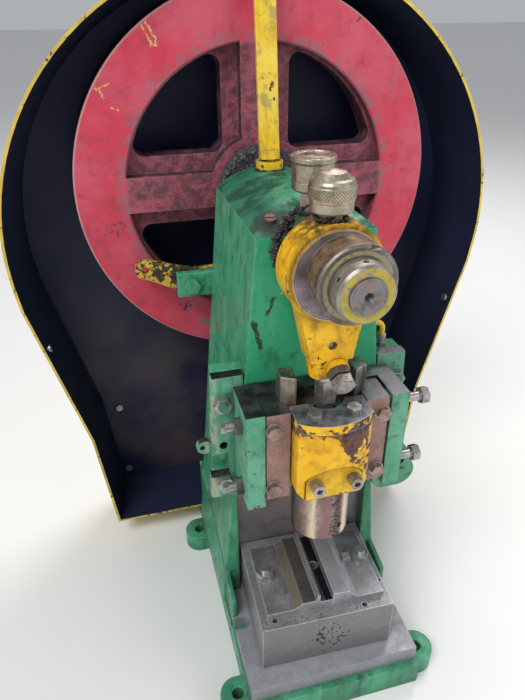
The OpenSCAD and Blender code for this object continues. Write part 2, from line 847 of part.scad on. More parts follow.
module front_bush() {
    color(bronze) translate([0, boss_front, shaft_z]) rotate([-90, 0, 0]) main_bush();
}

module rear_bush() {
    color(bronze) translate([0, boss_back, shaft_z]) rotate([90, 0, 0]) main_bush();
}

// Screws on the bevel of the crown
crown_screw_places = [[-38, 62], [-27, 51]];

module on_bevel(p) {
    translate([p[0], p[1], bevel_z(p[1])]) rotate([atan(bevel_fall), 0, 0]) children();
}

module crown_screws() {
    color(brown_iron) for (p = crown_screw_places) on_bevel(p) {
        translate([0, 0, -14]) cylinder(h = 15, r = 3.5);
        difference() {
            cylinder(h = 4, r = 5.5);
            translate([-7, -0.8, 2.6]) cube([14, 1.6, 3]);
        }
    }
}

// Grease cups: a threaded stem with a cup, and a screw cap over it
cup_stem_r = 6;
cup_base_h = 9;
cup_gap = 0.35;

cup_neck = 6.5;

module grease_cup(d, stem, hex_h) {
    r = d / 2;
    translate([0, 0, -stem]) cylinder(h = stem + past, r = cup_stem_r);
    hex(20, hex_h);
    translate([0, 0, hex_h]) rotate_extrude() polygon([
        [0, 0], [r - 3, 0], [r - 1.4, 1.6], [r - 1.4, cup_base_h],
        [r - cup_neck - cup_gap, cup_base_h], [r - cup_neck - cup_gap, cup_base_h + 7], [0, cup_base_h + 7]
    ]);
}

// Domed cap with a raised band, underside at z = 0
module domed_cap(d, dome) {
    r = d / 2;
    rotate_extrude() polygon([
        [0, 7.2 + cup_gap], [r - cup_neck, 7.2 + cup_gap], [r - cup_neck, 0], [r - 0.9, 0], [r - 0.6, 2],
        [r, 2.6], [r, 11.4], [r - 0.6, 12], [r - 0.9, 14.2], [r - 2.2, 16.2], [r - 4.6, 17.6],
        [r - 9, 17.4 + dome * 0.7], [0, 17 + dome]
    ]);
}

// Straight cap under a wide flat lid with a rim, underside at z = 0
module lidded_cap(d, dome) {
    r = d / 2;
    rotate_extrude() polygon([
        [0, 7.2 + cup_gap], [r - cup_neck, 7.2 + cup_gap], [r - cup_neck, 0], [r - 1.8, 0], [r - 1.8, 14],
        [r - 0.7, 15.4], [r, 16.4], [r, 18.6 + dome / 3], [r - 1, 19.4 + dome / 3], [r - 2.6, 19.4 + dome / 3],
        [r - 3.4, 18.4 + dome / 3], [0, 18.8 + dome / 3]
    ]);
}

front_cup_z = big_z + big_d / 2 - 1;
front_stem = big_d / 2 - 1 - rod_bush_r - 1.6;
cup_hex_h = 7;
front_cap_z = front_cup_z + cup_hex_h + cup_base_h + cup_gap;
rear_cup_z = shaft_z + boss_r - 1;
rear_hex_h = 22;
rear_cap_z = rear_cup_z + rear_hex_h + cup_base_h + cup_gap;
cap_scale = cup_cap_h / 25;

module rear_grease_cup() {
    color(bronze) translate([0, rear_cup_y, rear_cup_z]) grease_cup(rear_cup_d, boss_r - bush_r - 1.5, rear_hex_h);
}

module rear_cup_cap() {
    color(bronze) translate([0, rear_cup_y, rear_cap_z]) lidded_cap(rear_cup_d, 3 * cap_scale);
}

module front_grease_cup() {
    color(bronze) translate([big_x - 2, -rod_out, front_cup_z]) grease_cup(front_cup_d, front_stem, cup_hex_h);
}

module front_cup_cap() {
    color(bronze) translate([big_x - 2, -rod_out, front_cap_z]) domed_cap(front_cup_d, 6 * cap_scale);
}

// Stay from the crown up to the guard. Its own frame leans back with the bar.
stay_stud_r = 6;
stay_stud_in = 9;
stay_collar_h = 9;
stay_nut_h = 10;
stay_bolt_r = 3;
stay_root_z = crown_z + stay_nut_h;
guard_r = wheel_d / 2 + guard_gap;
guard_top = guard_cz + guard_r;
stay_rise = guard_top - guard_t / 2 - stay_root_z;
stay_lean = atan((guard_front - stay_t / 2 - stay_y) / stay_rise);
stay_len = stay_rise / cos(stay_lean);
stay_bolt_up = stay_len - 20;
tab_t = 3;
tab_gap = 0.2;

module stay_frame() {
    translate([0, stay_y, stay_root_z]) rotate([-stay_lean, 0, 0]) children();
}

module stay_bar() {
    color(yellow) difference() {
        union() {
            stay_frame() translate([-stay_w / 2, -stay_t / 2, stay_collar_h])
                cube([stay_w, stay_t, stay_len - stay_collar_h - 6]);
            translate([0, stay_y, crown_z - stay_stud_in + 0.5])
                cylinder(h = stay_nut_h + stay_stud_in + 1.5, r = stay_stud_r - 0.5);
            stay_frame() cylinder(h = stay_collar_h + 2, r = stay_stud_r - 0.5);
        }
        stay_frame() rod_y(0, stay_bolt_up, -10, 10, stay_bolt_r + 0.3);
    }
}

module stay_nut() {
    color(bare_steel) translate([0, stay_y, crown_z]) difference() {
        cylinder(h = stay_nut_h - 1.6, r = 15);
        translate([0, 0, -past]) cylinder(h = stay_nut_h + 2, r = stay_stud_r);
        for (a = [0, 90, 180, 270]) rotate([0, 90, a + 45]) translate([-4.2, 0, 12]) cylinder(h = 6, r = 2);
    }
}

module stay_collar() {
    color(yellow) stay_frame() difference() {
        translate([0, 0, 0.2]) cylinder(h = stay_collar_h - 0.4, r = 11.5);
        translate([0, 0, -past]) cylinder(h = stay_collar_h + 4, r = stay_stud_r + 0.6);
    }
}

// Tab on the guard that the bar is bolted to
module stay_tab() {
    stay_frame() translate([-stay_w / 2, stay_t / 2 + tab_gap, stay_len - 32])
        cube([stay_w, tab_t, 32]);
}

module stay_bolt() {
    back = stay_t / 2 + tab_gap + tab_t;
    color(bare_steel) stay_frame() {
        rod_y(0, stay_bolt_up, -stay_t / 2 - 3, back + 6, stay_bolt_r);
        hex_y(0, stay_bolt_up, -stay_t / 2 - 4.2, -stay_t / 2, 10);
        hex_y(0, stay_bolt_up, back, back + 5, 10);
    }
}

// Slice of the guard's outline at a distance inside its edge
module guard_slice(inset, y, y1) {
    across(y, y1) intersection() {
        union() {
            translate([0, guard_cz]) circle(r = guard_r - inset, $fn = 96);
            polygon([
                [-guard_r + inset + 5, guard_cz - 60], [guard_r - inset - 5, guard_cz - 60],
                [guard_waist - inset, guard_waist_z], [-guard_waist + inset, guard_waist_z]
            ]);
        }
        translate([-guard_r, guard_waist_z]) square([2 * guard_r, guard_cz + guard_r]);
    }
}

module guard_skirt(inset, y, y1, low) {
    across(y, y1) polygon([
        [-guard_waist + inset, guard_waist_z + past], [guard_waist - inset, guard_waist_z + past],
        [guard_foot_half - inset, low], [-guard_foot_half + inset, low]
    ]);
}

// Solid of the guard between an inset at the front and more inset at the back
module guard_form(inset, y0, y1, low) {
    leaf = 0.01;
    hull() {
        guard_slice(inset, y0, y0 + leaf);
        guard_slice(inset + guard_flare, y1 - leaf, y1);
    }
    hull() {
        guard_skirt(inset, y0, y0 + leaf, low);
        guard_skirt(inset + guard_flare, y1 - leaf, y1, low);
    }
}

guard_bolt_xs = [-70, 70];
guard_bolt_y = guard_front + 42;

module wheel_guard() {
    color(yellow) difference() {
        union() {
            difference() {
                guard_form(0, guard_front, guard_back, foot_h);
                guard_form(guard_t, guard_front - past, guard_back - guard_t, foot_h + guard_t);
            }
            stay_tab();
        }
        for (x = guard_bolt_xs) translate([x, guard_bolt_y, foot_h - past]) cylinder(h = 8, r = 4.5);
        stay_frame() rod_y(0, stay_bolt_up, 0, 12, stay_bolt_r + 0.3);
        for (x = rivet_xs, z = rivet_zs)
            rod_y(x, z, guard_back - guard_t - past, guard_back + past, rivet_r + seat);
        at_side_rivets() translate([0, 0, -8]) cylinder(h = 14, r = rivet_r + seat);
    }
}

// Rivets in the back plate
rivet_r = 2.5;
rivet_xs = [-guard_foot_half + guard_flare + 10, guard_foot_half - guard_flare - 10];
rivet_zs = [foot_h + 16, guard_waist_z - 20];

// Place on the outside of a side wall, with z pointing outwards
side_rivet_y = guard_front + 10;
side_rivet_z = guard_cz - 118;
side_lean = atan((guard_r - 5 - guard_waist) / (guard_cz - 60 - guard_waist_z));
side_rivet_x = guard_waist + (side_rivet_z - guard_waist_z) * tan(side_lean) - guard_flare * 10 / guard_depth;

module at_side_rivets() {
    both_sides() translate([side_rivet_x, side_rivet_y, side_rivet_z]) rotate([0, 90 + side_lean, 0])
        children();
}

module guard_rivets() {
    color(bare_steel) {
        for (x = rivet_xs, z = rivet_zs) {
            rod_y(x, z, guard_back - guard_t - 1, guard_back + 1, rivet_r);
            rod_y(x, z, guard_back - guard_t - 2.4, guard_back - guard_t, 5);
            rod_y(x, z, guard_back, guard_back + 2.4, 5);
        }
        at_side_rivets() {
            translate([0, 0, -guard_t - 3]) cylinder(h = guard_t + 4.8, r = rivet_r);
            translate([0, 0, -guard_t - 4.3]) cylinder(h = 2.4, r = 5);
            translate([0, 0, 0.6]) cylinder(h = 2, r = 5);
        }
    }
}

module guard_bolts() {
    color(bare_steel) for (x = guard_bolt_xs) translate([x, guard_bolt_y, 0]) {
        translate([0, 0, foot_h - 14]) cylinder(h = 14 + guard_t + past, r = 4);
        translate([0, 0, foot_h + guard_t]) hex(13, 5.5);
    }
}

// Shoulder bolt of the trip lever: the head is in front of the lug, the nut behind the lever
lever_front = head_back + 1;

module lever_bolt() {
    color(bare_steel) {
        rod_y(-lever_x, lever_z, head_back - 14, lever_front + lever_t + 6, pivot_d / 2 - running);
        hex_y(-lever_x, lever_z, head_back - 17, head_back - 10, 17);
        hex_y(-lever_x, lever_z, lever_front + lever_t + 0.4, lever_front + lever_t + 5, 17);
    }
}

// Trip lever: flat bar with a rod hole at the outer end and a tip under the clutch
module trip_lever() {
    tip_x = -lever_x + lever_in;
    color(yellow) difference() {
        across(lever_front, lever_front + lever_t) {
            translate([-lever_x, lever_z]) circle(r = 16);
            polygon([
                [-lever_x - lever_out, lever_z + 9], [-lever_x - 4, lever_z - 15.5],
                [-lever_x + 10, lever_z - 12.5], [tip_x, lever_z + 2],
                [tip_x, lever_z + 18], [-lever_x + 4, lever_z + 15.5],
                [-lever_x - lever_out + 2, lever_z + 31]
            ]);
            translate([-lever_x - lever_out, lever_z + 20]) circle(r = 11.2);
        }
        rod_y(-lever_x, lever_z, lever_front - past, lever_front + lever_t + past, pivot_d / 2);
        rod_y(-lever_x - lever_out, lever_z + 20, lever_front - past, lever_front + lever_t + past,
            lever_hole_d / 2);
    }
}

// Oil pipe from the right flange into the head
pipe_x = 84;
pipe_y = ear_back + 8;
pipe_top_z = ear_top + 27;
pipe_bend = 8;

module oil_pipe() {
    r = pipe_d / 2;
    color(yellow) {
        translate([pipe_x, pipe_y, ear_top - 6]) cylinder(h = pipe_top_z - pipe_bend - ear_top + 6, r = r);
        translate([pipe_x - pipe_bend, pipe_y, pipe_top_z - pipe_bend]) rotate([90, 0, 0])
            rotate_extrude(angle = 90) translate([pipe_bend, 0]) circle(r = r);
        rod_x(pipe_y, pipe_top_z, flank(pipe_top_z) - 5, pipe_x - pipe_bend, r);
    }
}

module oil_union() {
    color(bare_steel) translate([pipe_x, pipe_y, ear_top]) difference() {
        union() {
            hex(12, 5);
            translate([0, 0, 4]) cylinder(h = 9, r = 4.6);
        }
        translate([0, 0, -past]) cylinder(h = 30, r = pipe_d / 2 + seat);
    }
}

// Crankshaft: nose, crank pin, collar, journals and wheel seat in one piece
shaft_end = wheel_back + 14;
collar_y0 = rod_back + 1;
collar_y1 = boss_front - bush_flange_t - air;
nose_r = nose_d / 2;
nose_y1 = flange_front - 1;
key_w = 8;
key_y0 = boss_back + 4;
key_y1 = wheel_front - 2;

module crankshaft() {
    color(bare_steel) difference() {
        union() {
            rod_y(0, shaft_z, -nose_out, nose_y1 + 3, nose_r);
            rod_y(pin_x, pin_z, nose_y1, collar_y0 + past, pin_d / 2);
            rod_y(0, shaft_z, collar_y0, collar_y1, ecc_d / 2 + 2);
            rod_y(0, shaft_z, collar_y1 - past, key_y1 + 1.5, journal_r);
            rod_y(0, shaft_z, key_y1, wheel_back + 1, seat_r);
            rod_y(0, shaft_z, wheel_back, shaft_end, 12);
        }
        // Centre holes
        translate([0, -nose_out - 0.01, shaft_z]) rotate([-90, 0, 0]) cylinder(h = 5, r1 = 4, r2 = 1);
        // Keyway for the clutch collar
        translate([-key_w / 2, key_y0, shaft_z + journal_r - 4]) cube([key_w, key_y1 - key_y0 + 4, 6]);
    }
}

module crank_key() {
    color(bare_steel) translate([-key_w / 2 + seat, key_y0 + seat, shaft_z + journal_r - 4 + seat])
        cube([key_w - 2 * seat, key_y1 - key_y0 - 4, 7]);
}

// Eccentric bush on the crank pin, with its flange and face dogs at the front
module eccentric_bush() {
    color(bare_steel) difference() {
        union() {
            rod_y(big_x, big_z, flange_front + flange_t - past, rod_back - 0.5, ecc_d / 2);
            rod_y(big_x, big_z, flange_front, flange_front + flange_t, flange_d / 2);
            rod_y(0, shaft_z, dog_back + 0.2, flange_front + past, dog_d / 2 - 3);
        }
        rod_y(pin_x, pin_z, nose_y1 - 0.5, rod_back + past, pin_d / 2 + seat);
        rod_y(0, shaft_z, dog_back - past, nose_y1 + past, nose_r + 2);
        // Four dog slots
        for (a = [0, 90]) translate([0, dog_back + 2, shaft_z]) rotate([0, a + 20, 0])
            cube([dog_d, 4.4, 9], center = true);
    }
}

// Dog ring in front of the bush
dog_front = -nose_out + 20;
dog_back = dog_front + 8;

module dog_ring() {
    color(bare_steel) difference() {
        union() {
            rod_y(0, shaft_z, dog_front + 1.5, dog_back, dog_d / 2);
            translate([0, dog_front, shaft_z]) rotate([-90, 0, 0])
                cylinder(h = 1.6, r1 = dog_d / 2 - 1.5, r2 = dog_d / 2);
            intersection() {
                rod_y(0, shaft_z, dog_back - past, dog_back + 3, dog_d / 2 - 3.2);
                for (a = [0, 90]) translate([0, dog_back + 1.5, shaft_z]) rotate([0, a + 20, 0])
                    cube([dog_d, 5, 8.4], center = true);
            }
        }
        rod_y(0, shaft_z, dog_front - past, dog_back + 6, nose_r + seat);
        translate([8, dog_front - past, shaft_z + dog_d / 2 - 5]) cube([12, 5, 8]);
    }
}

// Ring nut with radial spanner holes
module ring_nut() {
    y0 = -nose_out + 2;
    y1 = dog_front - 0.2;
    color(yellow) difference() {
        union() {
            rod_y(0, shaft_z, y0 + 2, y1, ring_nut_d / 2);
            translate([0, y0, shaft_z]) rotate([-90, 0, 0])
                cylinder(h = 2.01, r1 = ring_nut_d / 2 - 2, r2 = ring_nut_d / 2);
        }
        rod_y(0, shaft_z, y0 - past, y1 + past, nose_r + seat);
        for (a = [0:60:300]) translate([0, (y0 + y1) / 2, shaft_z]) rotate([0, a, 0])
            translate([0, 0, ring_nut_d / 2 - 6]) cylinder(h = 10, r = 2.5);
    }
}

// Clutch: collar keyed to the shaft, ring on the flywheel round it
module clutch_collar() {
    color(dark_steel) difference() {
        rod_y(0, shaft_z, collar_front, wheel_front - 3, collar_r);
        rod_y(0, shaft_z, collar_front - past, wheel_front, journal_r + seat);
        translate([-key_w / 2 - seat, collar_front - past, shaft_z])
            cube([key_w + 2 * seat, 40, journal_r + 3 + 2 * seat]);
        // Cam notch on the rim
        translate([0, collar_front - past, shaft_z - collar_r - 5]) cube([16, 8, 9]);
    }
}

module clutch_ring() {
    inner = collar_r + 0.6;
    color(dark_steel) difference() {
        union() {
            rod_y(0, shaft_z, clutch_front, wheel_front - seat, clutch_r);
            for (a = [15:45:330]) translate([0, clutch_front - 1.5, shaft_z]) rotate([0, a, 0])
                translate([0, 0, clutch_r - 6]) rotate([-90, 0, 0]) cylinder(h = 6, r = 3.4);
        }
        rod_y(0, shaft_z, clutch_front - 4, wheel_front + past, inner);
        for (a = [0:90:270]) translate([0, clutch_front + 9, shaft_z]) rotate([0, a, 0])
            translate([0, 0, inner]) cube([8, 22, 5], center = true);
    }
}

// Flywheel: turned rim, four ribbed arms and a hub, cast in one
module arm_pair(w) {
    for (a = [0, 90]) rotate(a) square([rim_inner_d + 4, w], center = true);
}

module window_outline() {
    offset(r = window_r, $fn = facets) offset(delta = -window_r) difference() {
        circle(r = rim_inner_d / 2 - 3, $fn = 96);
        circle(r = hub_d / 2, $fn = 48);
        arm_pair(web_w);
    }
}

module flywheel() {
    web_y = wheel_front + web_in;
    bore = wheel_bush_r + seat;
    color(red) difference() {
        union() {
            translate([0, wheel_front, shaft_z]) rotate([-90, 0, 0]) rotate_extrude($fn = 128) polygon([
                [rim_inner_d / 2, 2], [rim_inner_d / 2 + 2, 0], [wheel_r - 2.5, 0], [wheel_r, 2.5],
                [wheel_r, rim_w - 2.5], [wheel_r - 2.5, rim_w], [rim_inner_d / 2 + 2, rim_w],
                [rim_inner_d / 2, rim_w - 2]
            ]);
            // Web with its four openings
            translate([0, web_y + web_t, shaft_z]) rotate([90, 0, 0]) linear_extrude(web_t) difference() {
                circle(r = rim_inner_d / 2 + 1);
                window_outline();
            }
            // Ribs at the front and back of the arms
            translate([0, wheel_back - 1, shaft_z]) rotate([90, 0, 0]) linear_extrude(rim_w - 1)
                arm_pair(arm_w);
            rod_y(0, shaft_z, wheel_front, wheel_back, hub_d / 2);
        }
        rod_y(0, shaft_z, wheel_front - past, wheel_back + past, bore);
    }
}

module wheel_bush() {
    color(bronze) tube_y(0, shaft_z, wheel_front + 0.2, wheel_back + 0.3, wheel_bush_r, seat_r + running);
}

// Flanged nut that keeps the flywheel on the shaft
module wheel_nut() {
    y0 = wheel_back + air;
    color(bare_steel) difference() {
        union() {
            rod_y(0, shaft_z, y0, y0 + 4, 27);
            hex_y(0, shaft_z, y0 + 3, y0 + 12.5, 32);
        }
        rod_y(0, shaft_z, y0 - past, y0 + 14, 12 + seat);
        rod_y(0, shaft_z, y0 - past, wheel_back + 1 + 0.1, seat_r + 0.2);
    }
}

// Connecting rod: big end, tapered neck, threaded for the ball screw
screw_r = screw_d / 2;
screw_up = 46;

// The rod's own frame: z runs from the ball's centre to the big end
module on_rod() {
    translate([0, -rod_out, ball_z]) rotate([0, -rod_lean, 0]) children();
}

module connecting_rod() {
    color(yellow) difference() {
        union() {
            rod_y(big_x, big_z, rod_front, rod_back, big_d / 2);
            on_rod() hull() {
                translate([0, 0, rod_len - 30]) cube([neck_top_w, neck_t, 1], center = true);
                translate([0, 0, neck_end + 18]) cube([neck_w, neck_t, 1], center = true);
            }
            // Boss of the lock screw
            lock_frame() translate([0, 0, -3]) cylinder(h = 3 + lock_boss_z, r = 11);
            on_rod() translate([0, 0, neck_end]) intersection() {
                cylinder(h = 20, r1 = neck_w / 2 - 1.5, r2 = neck_w / 2);
                translate([-50, -neck_t / 2, 0]) cube([100, neck_t, 20]);
            }
        }
        rod_y(big_x, big_z, rod_front - past, rod_back + past, rod_bush_r + seat);
        on_rod() translate([0, 0, neck_end - 6]) cylinder(h = screw_up + 6, r = screw_r + seat);
        on_rod() translate([0, 0, neck_end + 34]) rotate([90, 0, 0]) cylinder(h = 40, r = 4);
        // Hole and saw cut of the lock screw
        lock_frame() translate([0, 0, -10]) cylinder(h = 30, r = lock_r + seat);
        on_rod() translate([-neck_w / 2 - past, -1, neck_end - past]) cube([12, 2, 16]);
        // Seat of the grease cup
        translate([big_x - 2, -rod_out, front_cup_z - front_stem - 0.4]) cylinder(h = 30, r = cup_stem_r + seat);
        translate([big_x - 2, -rod_out, front_cup_z - seat]) cylinder(h = 20, r = 14);
        translate([big_x - 2, -rod_out, big_z + rod_bush_r - past]) cylinder(h = 10, r = 2.5);
    }
}

module rod_bush() {
    color(bronze) tube_y(big_x, big_z, rod_front + 0.3, rod_back - 0.3, rod_bush_r, ecc_d / 2 + running);
}

// Lock screw of the ball screw, leaning down towards the front
lock_r = 6;
lock_tilt = 20;
lock_af = 19;
lock_boss_z = 3.6;
lock_up = neck_end + 9;
lock_x = 4;

module lock_frame() {
    translate([lock_x, -rod_out - neck_t / 2, ball_z + lock_up]) rotate([90 + lock_tilt, 0, 0]) children();
}

module lock_screw() {
    color(bare_steel) lock_frame() {
        translate([0, 0, -1]) cylinder(h = 18, r = lock_r - seat);
        translate([0, 0, lock_boss_z + 9.5]) hex(lock_af, 8);
        translate([0, 0, lock_boss_z + 17.4]) cylinder(h = 1.4, r = 8.2);
    }
}

module lock_nut() {
    color(dark_steel) lock_frame() translate([0, 0, lock_boss_z + seat]) difference() {
        hex(lock_af, 7);
        translate([0, 0, -past]) cylinder(h = 10, r = lock_r + seat);
    }
}

// Ball screw with its hexagon
module ball_screw() {
    hex_low = neck_end - 31;
    color(bare_steel) on_rod() {
        sphere(r = ball_r);
        cylinder(h = hex_low + past, r = 8);
        translate([0, 0, hex_low]) hex(screw_af, 24);
        translate([0, 0, hex_low + 23]) cylinder(h = 7 + screw_up, r = screw_r);
    }
}

// Ram: D shaped body between two guide bars
corner_half = ram_half;
front_arc_r = (pow(corner_half, 2) + pow(ram_front - ram_corner, 2)) / (2 * (ram_front - ram_corner));

module ram_plan(grow) {
    intersection() {
        translate([0, -ram_front + front_arc_r - grow]) circle(r = front_arc_r, $fn = 128);
        translate([-ram_half - grow, -ram_front - 2]) square([2 * (ram_half + grow), ram_front + 2 + slide_back]);
    }
    translate([-ram_half - grow, -ram_corner]) square([2 * (ram_half + grow), ram_corner + slide_back]);
}

module bar_plan() {
    polygon([
        [28, slide_back - 3], [vee_x0, vee_y0], [vee_x1, vee_y1], [vee_x1, slide_back], [28, slide_back]
    ]);
}

clamp_split = -2;
clamp_front = -36;
clamp_arch = 17;
clamp_screw_z = body_bottom + clamp_h / 2;
shank_up = clamp_h - 7;

module clamp_outline(half, top) {
    arch_r = (half * half + clamp_arch * clamp_arch) / (2 * clamp_arch);
    translate([-half, body_bottom - past]) square([2 * half, top - clamp_arch - body_bottom + past]);
    intersection() {
        translate([0, top - arch_r]) circle(r = arch_r, $fn = 128);
        translate([-half, top - clamp_arch - past]) square([2 * half, clamp_arch + 2 * past]);
    }
}

module ram_slide() {
    color(yellow) difference() {
        union() {
            upright(body_bottom, body_top) ram_plan(0);
            both_sides() upright(bar_bottom, bar_top) bar_plan();
        }
        // Cavity for the ball and its seat
        translate([0, -rod_out, ball_z - ball_r - seat_floor]) cylinder(h = 80, r = cavity_r);
        // Recess and half bore of the clamp cap
        across(-ram_front - past, clamp_split) clamp_outline(clamp_half + 0.6, body_bottom + clamp_h + 0.6);
        translate([0, 0, body_bottom - past]) cylinder(h = shank_up + 2 + past, r = shank_r + seat);
        // Clearance of the guide bars' lower ends for the punch holder
        translate([0, 0, bar_bottom - past]) cylinder(h = body_bottom - bar_bottom + past, r = holder_d / 2 + 0.6);
        for (x = [-ram_bolt_half, ram_bolt_half]) {
            rod_y(x, clamp_screw_z, clamp_split - past, slide_back - 6, 4 + seat);
            translate([x, cap_bolt_y, body_top - 14]) cylinder(h = 20, r = 4 + seat);
        }
        // Chamfered lower corners
        both_sides() across(-ram_front - past, slide_back + past)
            polygon([[ram_half - 8, body_bottom - past], [ram_half + past, body_bottom + 9],
                [ram_half + past, body_bottom - past]]);
    }
}

cap_bolt_y = -25;

module cap_plate() {
    color(dark_steel) difference() {
        upright(body_top, cap_top) intersection() {
            ram_plan(0.4);
            translate([-50, -60]) square([100, 60 + vee_y0 - 1]);
        }
        translate([0, 4.5, body_top - past]) cylinder(h = cap_t + 2 * past, r = cap_hole_d / 2);
        for (x = [-ram_bolt_half, ram_bolt_half]) translate([x, cap_bolt_y, body_top - past])
            cylinder(h = cap_t + 2 * past, r = 4.4);
    }
}

module cap_bolts() {
    color(bare_steel) for (x = [-ram_bolt_half, ram_bolt_half]) translate([x, cap_bolt_y, 0]) {
        translate([0, 0, body_top - 12]) cylinder(h = 12 + cap_t + past, r = 4);
        translate([0, 0, cap_top]) hex(13, 6);
    }
}

// Bronze seat under the ball, and the ring that lifts the ram
seat_floor = 8;
seat_dish_r = 30;
seat_clear = 0.6;
ring_z = body_top - 6;

module ball_seat() {
    low = ball_z - ball_r - seat_floor;
    color(bronze) difference() {
        translate([0, -rod_out, low + seat]) cylinder(h = seat_floor + 4, r = cavity_r - seat);
        translate([0, -rod_out, ball_z - ball_r - seat_clear + seat_dish_r]) sphere(r = seat_dish_r);
    }
}

module ball_ring() {
    color(bronze) translate([0, -rod_out, 0]) difference() {
        translate([0, 0, ring_z]) cylinder(h = body_top - ring_z, r = cavity_r - seat);
        translate([0, 0, ring_z - past]) cylinder(h = 20, r = 11.9);
    }
}

// Clamp cap over the shank, and the holder that hangs from it
module clamp_cap() {
    color(yellow) difference() {
        across(clamp_front, clamp_split - 0.4)
            intersection() {
                clamp_outline(clamp_half, body_bottom + clamp_h);
                translate([-50, body_bottom]) square([100, 60]);
            }
        translate([0, 0, body_bottom - past]) cylinder(h = shank_up + 2 + past, r = shank_r + seat);
        for (x = [-ram_bolt_half, ram_bolt_half])
            rod_y(x, clamp_screw_z, clamp_front - past, clamp_split + past, 4.4);
    }
}

module clamp_screws() {
    color(bare_steel) for (x = [-ram_bolt_half, ram_bolt_half]) difference() {
        union() {
            rod_y(x, clamp_screw_z, clamp_front - 12, clamp_front, 6.5);
            rod_y(x, clamp_screw_z, clamp_front - past, slide_back - 8, 4);
        }
        hex_y(x, clamp_screw_z, clamp_front - 13, clamp_front - 6, 6);
    }
}

module punch_holder() {
    color(brown_iron) difference() {
        union() {
            translate([0, 0, holder_bottom]) cylinder(h = holder_len - 0.2, r = holder_d / 2);
            translate([0, 0, body_bottom - past]) cylinder(h = shank_up + past, r = shank_r);
        }
        translate([0, 0, holder_bottom - past]) cylinder(h = tool_bore_len + past, r = tool_bore_d / 2);
        // Grub screw hole of the tool
        translate([0, 0, holder_bottom + 14]) rotate([90, 0, 25]) cylinder(h = 40, r = 3);
    }
}

frame_casting();
bolster_plate();
bolster_screws();
die_block();
die_plate_left();
die_plate_right();
die_studs();
die_washers();
die_nuts();
die_stop();
guide_housing();
housing_studs();
housing_nuts();
gib_left();
gib_right();
gib_bolts();
gib_washers();
gib_adjusting_screws();
gib_lock_nuts();
front_bush();
rear_bush();
crown_screws();
rear_grease_cup();
rear_cup_cap();
stay_bar();
stay_collar();
stay_nut();
stay_bolt();
wheel_guard();
guard_rivets();
guard_bolts();
lever_bolt();
oil_pipe();
oil_union();
crankshaft();
eccentric_bush();
dog_ring();
ring_nut();
crank_key();
clutch_collar();
wheel_nut();
flywheel();
wheel_bush();
clutch_ring();
connecting_rod();
rod_bush();
ball_screw();
lock_screw();
lock_nut();
front_grease_cup();
front_cup_cap();
ram_slide();
cap_plate();
cap_bolts();
ball_ring();
ball_seat();
clamp_cap();
clamp_screws();
punch_holder();
trip_lever();
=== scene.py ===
"""Bench eccentric press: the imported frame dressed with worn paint, oily steel, grease and fine trim."""
import math

import bmesh
import bpy
from mathutils import Matrix, Vector, noise


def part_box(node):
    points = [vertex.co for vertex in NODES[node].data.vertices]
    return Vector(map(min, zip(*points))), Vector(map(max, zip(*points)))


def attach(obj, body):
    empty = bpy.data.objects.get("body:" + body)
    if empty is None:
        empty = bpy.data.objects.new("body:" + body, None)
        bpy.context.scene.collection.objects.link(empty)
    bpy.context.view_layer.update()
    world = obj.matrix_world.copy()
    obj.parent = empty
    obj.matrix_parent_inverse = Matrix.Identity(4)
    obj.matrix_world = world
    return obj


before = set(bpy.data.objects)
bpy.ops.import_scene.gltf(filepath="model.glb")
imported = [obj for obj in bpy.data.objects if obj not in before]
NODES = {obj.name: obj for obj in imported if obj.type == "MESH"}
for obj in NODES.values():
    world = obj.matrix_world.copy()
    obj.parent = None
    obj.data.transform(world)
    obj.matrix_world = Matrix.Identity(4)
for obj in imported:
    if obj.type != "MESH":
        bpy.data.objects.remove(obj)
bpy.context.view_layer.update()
MM = 0.001

# Every material by its name; Shader files them here
MATERIALS = {}

# Camera of the photograph: place, angles and lens
EYE = Vector((-0.179227, -0.437493, 0.698676))
YAW, PITCH, ROLL = 0.26096, 0.53282, -0.00592
FOCAL_PX, LONG_SIDE_PX, SENSOR_MM = 593.185, 700, 36.0

# Axes of the shaft, of the rod's big end and of the front grease cup, in metres
SHAFT_Z = 0.5085
BIG_X, BIG_Z = -0.003, 0.503304
CUP_X, CUP_Y = BIG_X - 0.002, -0.0015

# Places where a piece changes its look, in metres
RIM_R = 0.211
ARMS_END_R = 0.1535
ARM_FACE_Y = 0.247
RAM_TOP_Z = 0.366
RAM_HALF_WIDTH = 0.0374
CAP_PLATE_Z = 0.3563
CROWN_SCREWS = (-0.030, 0.056)
DIE_RIDGE_Z = 0.131
DIE_TOP_Z = 0.138
DIE_SLOT_X = (-0.0052, 0.0060)
PAN_MIDDLE_Z, PAN_BACK_Y, PAN_FLOOR_Z = 0.45, 0.3, 0.045
HUB_R = 0.0315
FLANGE_R = 0.0389
FLANGE_FRONT_Y = -0.0232
DOG_CHAMFER_Y = -0.0524
KNURL_LOW_Z, KNURL_HIGH_Z, KNURL_R, KNURL_RIDGES = 0.5656, 0.5738, 0.0195, 44.0

# Spans of such places along X, Y and Z
RELIEF = (-0.0792, 0.0792), (0.0535, 0.066), (0.05, 0.26)
HEAD_FRONT = None, (0.03, 0.05), (0.30, 0.56)
CHANNEL = (-0.0645, 0.0645), (0.0, 0.03), (0.24, 0.372)
LEFT_EAR_EDGE = (-0.1135, -0.100), (0.036, 0.056), (0.22, 0.40)

# How fine the lumps of the grease beads are
LUMPS_PER_M = 230

